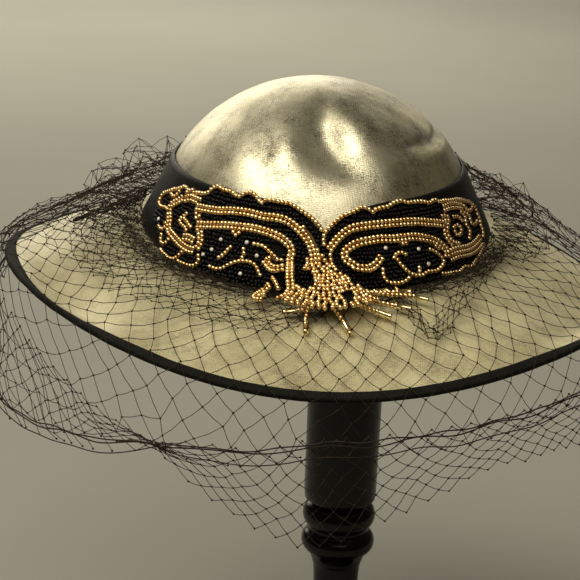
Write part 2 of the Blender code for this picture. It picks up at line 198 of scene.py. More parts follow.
# %% Node helpers
class Finish:
    """One material with short ways to add and join its nodes."""

    def __init__(self, name, **fixed):
        self.material = bpy.data.materials.new(name)
        self.material.use_nodes = True
        self.tree = self.material.node_tree
        self.shader = self.tree.nodes["Principled BSDF"]
        for socket, value in fixed.items():
            self.shader.inputs[socket.replace("_", " ")].default_value = value

    def add(self, kind, sources=None, **settings):
        """Adds a node; sources maps an input to a value or to another node's output."""
        node = self.tree.nodes.new("ShaderNode" + kind)
        for key, value in settings.items():
            setattr(node, key, value)
        for key, value in (sources or {}).items():
            if isinstance(value, bpy.types.NodeSocket):
                self.tree.links.new(value, node.inputs[key])
            else:
                node.inputs[key].default_value = value
        return node

    def where(self, kind="Object"):
        """Object coordinates, or the piece's own map where kind is UV."""
        return self.add("TexCoord").outputs[kind]

    def stretched(self, vector, scale):
        """The same coordinates, scaled along each axis."""
        return self.add("Mapping", {"Vector": vector, "Scale": scale}).outputs[0]

    def east(self, place):
        """How far a point lies to the hat's left or right, in metres."""
        return self.add("SeparateXYZ", {"Vector": place}).outputs[0]

    def map(self, value, low, high, start=0.0, end=1.0):
        """Carries a value from start..end to low..high, held at both ends."""
        return self.add("MapRange", {"Value": value, "From Min": start, "From Max": end,
                                     "To Min": low, "To Max": high}).outputs[0]

    def noise(self, vector, scale, detail=3.0, rough=0.55):
        """Cloudy noise with so many patches a metre."""
        return self.add("TexNoise", {"Vector": vector, "Scale": scale, "Detail": detail,
                                     "Roughness": rough}).outputs[0]

    def wave(self, vector, scale, axis="X", wander=0.0):
        """Even bands across one axis."""
        return self.add("TexWave", {"Vector": vector, "Scale": scale, "Distortion": wander},
                        bands_direction=axis).outputs["Fac"]

    def ramp(self, value, *stops):
        """Maps a value to colours; each stop is a position and a grey or a colour."""
        node = self.add("ValToRGB", {"Fac": value})
        points = node.color_ramp.elements
        while len(points) < len(stops):
            points.new(0.5)
        for point, (place, colour) in zip(points, stops):
            point.position = place
            rgb = (colour,) * 3 if isinstance(colour, (int, float)) else colour
            point.color = (*rgb, 1.0)
        return node.outputs[0]

    def blend(self, amount, first, second, how="MIX"):
        """Mixes two colours."""
        node = self.add("Mix", data_type="RGBA", blend_type=how)
        for index, value in ((0, amount), (6, first), (7, second)):
            if isinstance(value, bpy.types.NodeSocket):
                self.tree.links.new(value, node.inputs[index])
            else:
                node.inputs[index].default_value = value if index == 0 else (*value, 1.0)
        return node.outputs[2]

    def sum(self, first, second, how="ADD"):
        """Adds or multiplies two numbers."""
        return self.add("Math", {0: first, 1: second}, operation=how).outputs[0]

    def bump(self, height, strength, distance, under=None):
        """Turns a height into a bent normal, on top of another bump if one is given."""
        sources = {"Height": height, "Strength": strength, "Distance": distance}
        if under is not None:
            sources["Normal"] = under
        return self.add("Bump", sources).outputs[0]

    def use(self, **links):
        """Links outputs to the shader's sockets."""
        for socket, output in links.items():
            self.tree.links.new(output, self.shader.inputs[socket.replace("_", " ")])
        return self.material


print("ways to build a finish:", [way for way in vars(Finish) if not way.startswith("_")])

# %% [markdown]
# The hat is covered in lame, a cloth woven with flat metal thread. It shines like brushed metal, has
# a fine grain in two directions, and has worn to dark specks. The finish is a rough metal whose colour
# and roughness change from patch to patch, with a thread grain and loose wrinkles as bumps.

# %% Gold cloth of the crown and the brim
def lame(name, light, shade, dark, rough, specks, wrinkle, metal=0.86, left=1.0, right=(1.0, 1.0, 1.0)):
    """Metal cloth: two tones, light and shade, in clouds; painted shade to the left and darker, yellower
    painted shade to the right; specks and a weave.
    """
    f = Finish(name, Metallic=metal, Roughness=rough, Sheen_Weight=0.06, Sheen_Roughness=0.5,
               Coat_Weight=0.30, Coat_Roughness=0.42)
    cloth, place = f.where("UV"), f.where()
    east = f.east(place)
    tone = f.blend(f.ramp(f.noise(place, 26, 4.0, 0.6), (0.30, 0.0), (0.72, 1.0)), shade, light)
    # painted shade: the colour is darkened towards the hat's left, down to the share left at the far left
    tone = f.blend(1.0, tone, f.map(east, left, 1.0, -0.19, 0.02), "MULTIPLY")
    # painted shade: towards the hat's right the colour is multiplied by the darker, yellower colour right
    right_painted_shade = f.blend(f.map(east, 0.0, 1.0, 0.010, 0.060), (1.0, 1.0, 1.0), right)
    tone = f.blend(1.0, tone, right_painted_shade, "MULTIPLY")
    grain = f.noise(f.stretched(cloth, (520, 1400, 1)), 1.0, 2.0, 0.7)
    fine = f.noise(f.stretched(cloth, (2100, 1500, 1)), 1.0, 2.0, 0.8)
    threads = f.sum(f.wave(cloth, 330, "Y", 4.0), f.wave(cloth, 330, "X", 4.0))
    wear = f.sum(f.sum(f.sum(grain, fine), f.noise(place, 60, 3.0, 0.65)), f.sum(threads, 0.12, "MULTIPLY"))
    marks = f.ramp(f.sum(wear, 0.31, "MULTIPLY"), (0.485, 0.0), (0.60, specks))
    stain = f.ramp(f.noise(place, 14, 5.0, 0.72), (0.55, 0.0), (0.72, 0.55))
    colour = f.blend(f.ramp(f.sum(marks, stain), (0.0, 0.0), (1.0, 1.0)), tone, dark)
    creases = f.noise(f.stretched(place, (70, 70, 30)), 1.0, 4.0, 0.6)
    weave = f.bump(threads, 0.22, 0.00012)
    normal = f.bump(creases, wrinkle, 0.0012, f.bump(fine, 0.35, 0.00018, weave))
    return f.use(Base_Color=colour, Roughness=f.map(fine, rough - 0.09, rough + 0.13), Normal=normal)


# the crown's right side gets a darker, yellower painted shade
CROWN_LAME = lame("crown_lame", (0.70, 0.64, 0.44), (0.52, 0.46, 0.285), (0.085, 0.067, 0.028),
                  0.35, 1.0, 0.30, right=(0.78, 0.73, 0.45))
# the brim's left side gets painted shade, down to 0.56 of its colour
BRIM_LAME = lame("brim_lame", (0.90, 0.795, 0.455), (0.70, 0.61, 0.33), (0.24, 0.19, 0.09),
                 0.40, 0.7, 0.36, metal=0.50, left=0.56)
print("gold cloth:", CROWN_LAME.name, BRIM_LAME.name)

# %% [markdown]
# The crown is one shell of stiffened cloth: a leaning wall that turns over into a low dome. The dome's
# front has a soft thumb dent with a lit right side, and a few faint ridges where the cloth has
# buckled. Each is a small smooth hill or hollow added along the dome, which stays easy to move, where
# sculpting by hand would not.

# %% Dome of the crown
DOME_SIDE, DOME_END, DOME_RISE = 0.0706, 0.0839, 0.0386
CLOTH = 0.0020            # thickness of the crown's cloth
DENTS = (                 # in mm: across, down from the wall's top, half sizes; then lean, and mm outwards
    (5.0, -21.5, 10.0, 9.5, 0.60, -3.3), (24.5, -23.0, 9.0, 17.0, 0.50, 1.9),
    (-13.5, -22.0, 8.0, 12.0, 0.30, 1.1), (-37.0, -20.0, 6.0, 14.0, 0.10, 0.7),
    (-27.0, -20.0, 5.5, 13.0, 0.10, -0.7), (44.0, -22.0, 17.0, 6.0, -0.45, -0.9),
    (55.0, -12.0, 9.0, 7.0, 0.0, 0.6), (25.0, -40.0, 9.0, 5.0, 0.3, -0.5),
    (47.0, -20.4, 5.0, 2.0, 0.0, -1.3), (57.0, -18.0, 6.5, 2.3, 0.0, -2.0),
    (54.0, -13.0, 9.0, 3.6, 0.0, 0.9),
)


def dome_point(phi, rise):
    """An arc from 30 to 90 degrees: the spread is its cosine and the height its sine, less a soft crease."""
    turn = np.radians(30 + 60 * rise)
    spread = np.cos(turn) / math.cos(math.radians(30))
    lift = (np.sin(turn) - 0.5) / 0.5
    degrees = (np.degrees(phi) + 180) % 360 - 180
    crease = 0.0030 * np.exp(-((degrees - 1) / 13) ** 2 - ((rise - 0.42) / 0.26) ** 2)
    return oval(phi, DOME_SIDE * spread, DOME_END * spread - crease, DOME_END * spread,
                WALL_TOP + DOME_RISE * lift - crease)


def outward_normals(points):
    """Across the grid: the direction round the hat crossed with the direction up."""
    around = np.roll(points, -1, 1) - np.roll(points, 1, 1)
    return unit(np.cross(around, np.gradient(points, axis=0)))


print("the crown rises", round(WALL_TOP + DOME_RISE, 4), "m over the head line")

# %% Crown
phi = np.linspace(-np.pi, np.pi, 360, endpoint=False)[None, :]
heights = np.linspace(0, 1, 10)[:, None]
foot = head_line(phi) + 0.0015
wall = wall_point(phi, foot + (WALL_TOP - foot) * heights)
rises = (np.linspace(0, 1, 64)[1:-1, None]) ** 1.05
dome = dome_point(phi, rises)
degrees = (np.degrees(phi) + 180) % 360 - 180
across = 1000 * (dome[..., 0] - HAT_CENTRE[0])
climb = -1000 * (dome[..., 2] - HAT_CENTRE[2] - WALL_TOP) * 1.15
front_side = np.clip(-(dome[..., 1] - 0.02) / 0.03, 0, 1)
bulge = front_side * sum(
    out / 1000 * np.exp(-((across - mid - lean * (climb - high)) / wide) ** 2 - ((climb - high) / tall) ** 2)
    for mid, high, wide, tall, lean, out in DENTS)
dome = dome + outward_normals(dome) * (bulge + 0.00022 * soft_noise(degrees / 7, rises * 9, 4)
                                       * (1 - rises) * np.minimum(1, rises * 6))[..., None]
outer = np.concatenate([wall, dome])
for _ in range(14):                       # rounds the turn where the wall meets the dome
    outer[6:16] = (outer[5:15] + 2 * outer[6:16] + outer[7:17]) / 4
# a cloth pulled over the dome keeps its length down the side, so its map uses that length
down = np.linalg.norm(np.diff(outer[::-1], axis=0), axis=2).cumsum(0)[::-1] + 0.0015
down = np.concatenate([down, down[-1:] * 0 + 0.0015])
inner = outer - outward_normals(outer) * CLOTH
rows, columns = outer.shape[:2]
top = dome_point(np.zeros(1), np.ones(1))[0]
verts = np.concatenate([inner[::-1].reshape(-1, 3), outer.reshape(-1, 3), [top - (0, 0, CLOTH), top]])
flat = np.stack([down * np.sin(phi), -down * np.cos(phi)], -1)
flat = np.concatenate([flat[::-1].reshape(-1, 2), flat.reshape(-1, 2), [[0, 0], [0, 0]]])
crown = as_mesh("crown_cloth", verts, [grid_faces(2 * rows, columns), end_fans(2 * rows, columns)],
                CROWN_LAME, uv=flat)
finish_piece(crown, "gold_cloth", "crown")

# %% [markdown]
# The brim is a second cloth shell, seen from above and below. It is one closed grid: out along the top
# face, round the edge and back along the lower face. A trace of slow waviness keeps its shine from
# looking like turned metal.

# %% Brim
phi = np.linspace(-np.pi, np.pi, 420, endpoint=False)[None, :]
shares = np.linspace(-0.045, 1.0, 44)[:, None]
ripple = 0.00125 * soft_noise(np.degrees(phi) / 14, shares * 4, 9) * np.sin(np.pi * np.clip(shares, 0, 1))
ripple = ripple * np.minimum(1, np.abs(np.abs(phi) - np.pi) * 4)
upper = brim_point(phi, shares, ripple)
lower = brim_point(phi, shares, ripple - 0.0015)
rim = (upper[-1:] + lower[-1:]) / 2 + (upper[-1:] - upper[-2:-1]) * 0.35
loop = np.concatenate([lower, rim, upper[::-1]])
brim = as_mesh("brim_cloth", loop.reshape(-1, 3), grid_faces(len(loop), 420, loop=True), BRIM_LAME,
               uv=(loop.reshape(-1, 3) - HAT_CENTRE)[:, :2])
finish_piece(brim, "gold_cloth", "brim")

# %% [markdown]
# A bias strip of black satin stands round the crown and flares a little. Its top edge dips into a small
# V at the centre front. The satin is nearly black with a soft, broad shine and very fine ribs.

# %% Satin band
def black_cloth(name, colour, rough, rib, rib_strength, sheen, shine=0.06):
    """Near-black cloth: fine ribs across the map, slow rumples, and a roughness that wanders."""
    f = Finish(name, Roughness=rough, Sheen_Weight=sheen, Sheen_Roughness=0.45, Specular_IOR_Level=shine)
    cloth, place = f.where("UV"), f.where()
    patch = f.noise(place, 55, 4.0, 0.6)
    base = f.blend(patch, colour, tuple(2.4 * c for c in colour))
    ribs = f.wave(cloth, rib, "X", 0.6)
    normal = f.bump(f.noise(place, 160, 3.0), 0.30, 0.0006, f.bump(ribs, rib_strength, 0.00025))
    return f.use(Base_Color=base, Roughness=f.map(patch, rough - 0.06, rough + 0.14), Normal=normal)


SATIN = black_cloth("black_satin_cloth", (0.0036, 0.0031, 0.0024), 0.36, 420, 0.18, 0.01)
phi = np.linspace(-np.pi, np.pi, 300, endpoint=False)[None, :]
degrees = np.degrees(phi)
low = head_line(phi) + 0.0006
BAND_TOP = np.array((     # angle, and height of the top edge in millimetres
    (-180, 33.1), (-15, 33.1), (-10, 31.6), (-5.6, 28.8), (-3, 26.8), (-1, 24.2), (1, 21.6), (2.6, 21.4),
    (4, 22.8), (6, 25.2), (8, 27.2), (10, 28.6), (12.4, 29.8), (16, 31.2), (21, 32.4), (27, 33.1), (180, 33.1)))
high = np.interp(degrees, BAND_TOP[:, 0], BAND_TOP[:, 1]) / 1000
BAND_SECTION = np.array(( # distance out in millimetres and share of the height, once round the section
    (0.5, 0.0), (1.1, -0.004), (1.7, 0.01), (1.9, 0.06), (1.8, 0.25), (1.8, 0.5), (1.8, 0.75), (1.9, 0.94),
    (1.7, 0.99), (1.1, 1.003), (0.5, 1.0), (0.5, 0.5)))
face, level = BAND_SECTION[:, 0] / 1000, BAND_SECTION[:, 1]
wrinkle = 0.00016 * soft_noise(degrees / 9, level[:, None] * 4, 2) * (face[:, None] > 0.0015)
ring = wall_point(phi, low + (high - low) * level[:, None], face[:, None] + wrinkle)
length = np.radians(degrees + 180) * 0.09 + 0 * ring[..., 0]
band = as_mesh("satin_band_cloth", ring.reshape(-1, 3), grid_faces(len(face), 300, loop=True), SATIN,
               uv=np.stack([length, ring[..., 2]], -1).reshape(-1, 2))
finish_piece(band, "black_satin", "satin_band")

# %% [markdown]
# The rim is bound in a narrow black braid folded over the brim's edge. A profile that wraps the edge is
# carried once round the hat; its ribs follow the map's length, so they stay even in the waves.

# %% Edge binding
BRAID = black_cloth("black_braid_cloth", (0.0060, 0.0056, 0.0040), 0.62, 300, 0.75, 0.0, 0.05)
phi = np.linspace(-np.pi, np.pi, 480, endpoint=False)[None, :]
edge = brim_point(phi, np.ones((1, 1)))
inward = brim_point(phi, np.full((1, 1), 0.90))
slope = unit(edge - inward)
side = unit(np.cross(np.roll(edge, -1, 1) - np.roll(edge, 1, 1), slope))
up = np.where(side[..., 2:] < 0, -side, side)
ROUND = np.radians(np.linspace(90, -90, 11))
folded = [(-0.0046, 0.0003), (-0.0048, 0.0005), (-0.0045, 0.0007), (-0.0034, 0.0008), (-0.0016, 0.0008)]
outside = folded + [(0.0002 + 0.0010 * math.cos(a), -0.00075 + 0.00145 * math.sin(a)) for a in ROUND]
outside += [(x, -0.0015 - z) for x, z in folded[::-1]]
inside = [(-0.0034, -0.0018), (-0.0002, -0.0018), (0.0008, -0.00075), (-0.0002, 0.0003), (-0.0034, 0.0003)]
profile = np.array(outside + inside)
narrow = 1 - 0.30 * np.maximum(0, np.cos(phi)) ** 2       # the braid is turned in less at the front
inner_half = brim_point(phi, 1.0 + narrow * profile[:, :1] / BRIM_LENGTH * (profile[:, :1] < 0))
ring = inner_half + slope * np.maximum(profile[:, :1], 0)[..., None] + up * profile[:, 1:][..., None]
swell = 0.00012 * soft_noise(np.degrees(phi) / 3, profile[:, :1] * 400, 3)
ring = ring + up * swell[..., None] * (np.arange(len(profile)) < len(outside))[:, None, None]
length = np.radians(np.degrees(phi) + 180) * 0.165 + 0 * ring[..., 0]
across = np.linspace(0, 0.02, len(profile))[:, None] + 0 * length
braid = as_mesh("edge_binding", ring.reshape(-1, 3), grid_faces(len(profile), 480, loop=True)[:, ::-1],
                BRAID, uv=np.stack([length, across], -1).reshape(-1, 2))
finish_piece(braid, "black_braid", "brim_binding")

# %% [markdown]
# The front ornament is embroidery on a black cloth backing: rows of small gold beads draw scrolls, and
# black beads fill the ground. Drawing it flat first is the natural way, as the embroiderer does. Each
# row is a list of points, an angle round the crown and a height in millimetres; a smooth curve runs
# through them and a bead is threaded on every 2.05 mm.

# %% Places on the ornament
BEAD_PITCH = 0.00205


def ornament_point(degrees, height, lift=0.0):
    """Wall by angle and height; what hangs below the crown's foot bends forward over the brim."""
    phi = np.radians(degrees)
    foot = 1000 * head_line(phi) + 1.6
    below = np.maximum(0, foot - height)
    side_out, side_high = 4.1 + 3.0 * below, np.maximum(height, foot) - 0.12 * below
    knots = np.array([-13.5, -9.05, -4.9, 0.24, 5.5, 8.5, 36.0])
    mid_out = np.interp(height, knots, [30.0, 22.0, 16.5, 13.2, 8.6, 4.6, 4.1])
    mid_high = np.interp(height, knots, [-4.2, -2.2, 0.2, 4.2, 7.4, 8.9, 36.0])
    m = np.clip((17.0 - np.abs(degrees - 1.5)) / 5.5, 0, 1)
    m = m * m * (3 - 2 * m)
    out = (side_out + (mid_out - side_out) * m) / 1000
    high = (side_high + (mid_high - side_high) * m) / 1000
    lean = np.maximum(high, 0) / WALL_TOP
    length = HEAD_END - LEAN_END * lean + out + lift
    return oval(phi, HEAD_SIDE - LEAN_SIDE * lean + out + lift, length, length, high + lift * 0.35)


print("the ornament's middle is at", ornament_point(np.zeros(1), np.zeros(1))[0].round(3))

# %% Smooth curves with even steps
def cubic(a, b, c, d, t):
    """From b to c as t goes from 0 to 1, in line at each with the points beside it."""
    return 0.5 * (2 * b + (c - a) * t + (2 * a - 5 * b + 4 * c - d) * t ** 2 + (3 * b - a - 3 * c + d) * t ** 3)


def smooth_run(points, samples=16):
    """A Catmull-Rom curve: one cubic for each stretch between two points."""
    p = np.asarray(points, float)
    p = np.concatenate([2 * p[:1] - p[1:2], p, 2 * p[-1:] - p[-2:-1]])
    t = np.linspace(0, 1, samples, endpoint=False)[None, :, None]
    a, b, c, d = (p[k:len(p) - 3 + k, None] for k in range(4))
    return np.concatenate([cubic(a, b, c, d, t).reshape(-1, p.shape[1]), p[-2:-1]])


def evenly(run, pitch):
    """Points at even steps along a run, with the direction of the run at each."""
    along = np.concatenate([[0], np.linalg.norm(np.diff(run, axis=0), axis=1).cumsum()])
    steps = max(1, round(along[-1] / pitch))
    at = np.linspace(0, along[-1], steps + 1)
    places = np.stack([np.interp(at, along, run[:, k]) for k in range(3)], 1)
    return places, unit(np.gradient(places, axis=0)) if len(places) > 1 else places * 0 + (1, 0, 0)


print("a curve through 3 points has", len(smooth_run([(0, 0), (1, 1), (2, 0)])), "points")

# %% Bead forms and copies
def bead_form(sides, rings):
    """A barrel: each ring is a share of the length and of the radius, closed by a centre at each end."""
    turn = np.arange(sides) * 2 * np.pi / sides
    rings = np.array(rings)
    along, out = rings[:, :1], rings[:, 1:]
    verts = np.stack(np.broadcast_arrays(along, out * np.cos(turn), out * np.sin(turn)), -1)
    ends = [[rings[0, 0] * 0.8, 0, 0], [rings[-1, 0] * 0.8, 0, 0]]
    faces = [grid_faces(len(rings), sides), end_fans(len(rings), sides)]
    return np.concatenate([verts.reshape(-1, 3), ends]), faces


def copies(form, centres, along, facing, length, radius, name, material):
    """Sets the form at every centre: its length follows along, and its two widths square to it."""
    verts, faces = form
    count = len(centres)
    third = unit(np.cross(along, facing))
    second = np.cross(third, along)
    axes = np.stack([along, second, third], 1)
    size = np.stack(np.broadcast_arrays(length, radius, radius), -1) * np.ones((count, 3))
    placed = np.einsum("vk,nk,nkc->nvc", verts, size, axes) + centres[:, None]
    shift = (np.arange(count) * len(verts))[:, None, None]
    groups = [(f[None] + shift).reshape(-1, f.shape[1]) for f in faces]
    return as_mesh(name, placed.reshape(-1, 3), groups, material)


def spaced(places, ways, room=0.00135):
    """Leaves out each bead that lies nearer than the room to one threaded before it."""
    gap = np.linalg.norm(places[:, None] - places[None], axis=2) + np.triu(np.ones((len(places),) * 2))
    keep = gap.min(1) > room
    return places[keep], ways[keep]


ROUND_BEAD = bead_form(8, [(-0.46, 0.52), (-0.34, 0.86), (0.0, 1.0), (0.34, 0.86), (0.46, 0.52)])
SMALL_BEAD = bead_form(6, [(-0.44, 0.55), (0.0, 1.0), (0.44, 0.55)])
print("a gold bead has", sum(len(f) for f in ROUND_BEAD[1]), "faces")

# %% [markdown]
# Gilded beads shine like metal but never quite alike: tone and polish wander from bead to bead, and
# the beads at the wings' ends are darker, the right end most. Pale beads, brass-coloured tubes and the waxed
# silk
# that the beads are strung on need only a tone that wanders, so one helper makes all three.

# %% Bead finishes
def bead_gold():
    """Gilded glass: a warm metal whose tone changes from bead to bead and is darker at the wings' ends."""
    f = Finish("gilt_bead", Metallic=1.0, Roughness=0.24)
    place = f.where()
    tone = f.ramp(f.noise(place, 420, 1.0), (0.30, (0.60, 0.33, 0.11)), (0.50, (0.90, 0.62, 0.26)),
                  (0.72, (0.97, 0.80, 0.47)))
    darker_at_ends = f.ramp(f.map(f.east(place), 0.0, 1.0, -0.10, 0.10), (0.08, (0.80, 0.78, 0.80)), (0.22, 1.0),
                  (0.58, 1.0), (0.70, (0.80, 0.78, 0.82)), (0.92, (0.44, 0.42, 0.47)))
    return f.use(Base_Color=f.blend(1.0, tone, darker_at_ends, "MULTIPLY"),
                 Roughness=f.map(f.noise(place, 900, 2.0), 0.18, 0.42),
                 Normal=f.bump(f.noise(place, 2400, 2.0), 0.12, 0.0002))


def dark_glass(name, colour, rough):
    """Jet glass: near black, with a bright skin and faint dust."""
    f = Finish(name, Roughness=rough, Coat_Weight=0.05, Coat_Roughness=0.15, Specular_IOR_Level=0.18)
    place = f.where()
    tone = f.blend(f.noise(place, 300, 3.0), colour, tuple(3 * c for c in colour))
    return f.use(Base_Color=tone, Roughness=f.map(f.noise(place, 700, 2.0), rough * 0.6, rough * 1.7))


def mottled(name, scale, low, high, detail=3.0, bump=None, **fixed):
    """A finish whose colour alone wanders between two tones, with a bumpy skin where asked."""
    f = Finish(name, **fixed)
    links = {"Base_Color": f.ramp(f.noise(f.where(), scale, detail), low, high)}
    if bump:
        size, detail, strength, depth = bump
        links["Normal"] = f.bump(f.noise(f.where(), size, detail), strength, depth)
    return f.use(**links)


GILT = bead_gold()
BRASS = mottled("brass_tube", 700, (0.3, (0.80, 0.58, 0.24)), (0.7, (0.98, 0.86, 0.52)),
                Metallic=1.0, Roughness=0.22)
JET = dark_glass("jet_bead", (0.0022, 0.0020, 0.0018), 0.34)
BACKING = black_cloth("ornament_backing_cloth", (0.003, 0.0027, 0.0022), 0.8, 700, 0.3, 0.0)
PEARL = mottled("pale_bead", 500, (0.3, (0.55, 0.47, 0.34)), (0.7, (0.85, 0.80, 0.68)),
                Roughness=0.12, Coat_Weight=1.0, Coat_Roughness=0.05)
SILK = mottled("amber_silk", 600, (0.3, (0.055, 0.024, 0.008)), (0.7, (0.16, 0.08, 0.028)),
               detail=2.0, bump=(2600, 2.0, 0.4, 0.0002), Roughness=0.6, Metallic=0.25)
print("bead finishes ready")

# %% [markdown]
# Then comes the drawing. Each row says how many beads wide it is and gives its points. The two wings
# are alike but not mirrored, so both are drawn. Where rows meet, the later bead is left out.

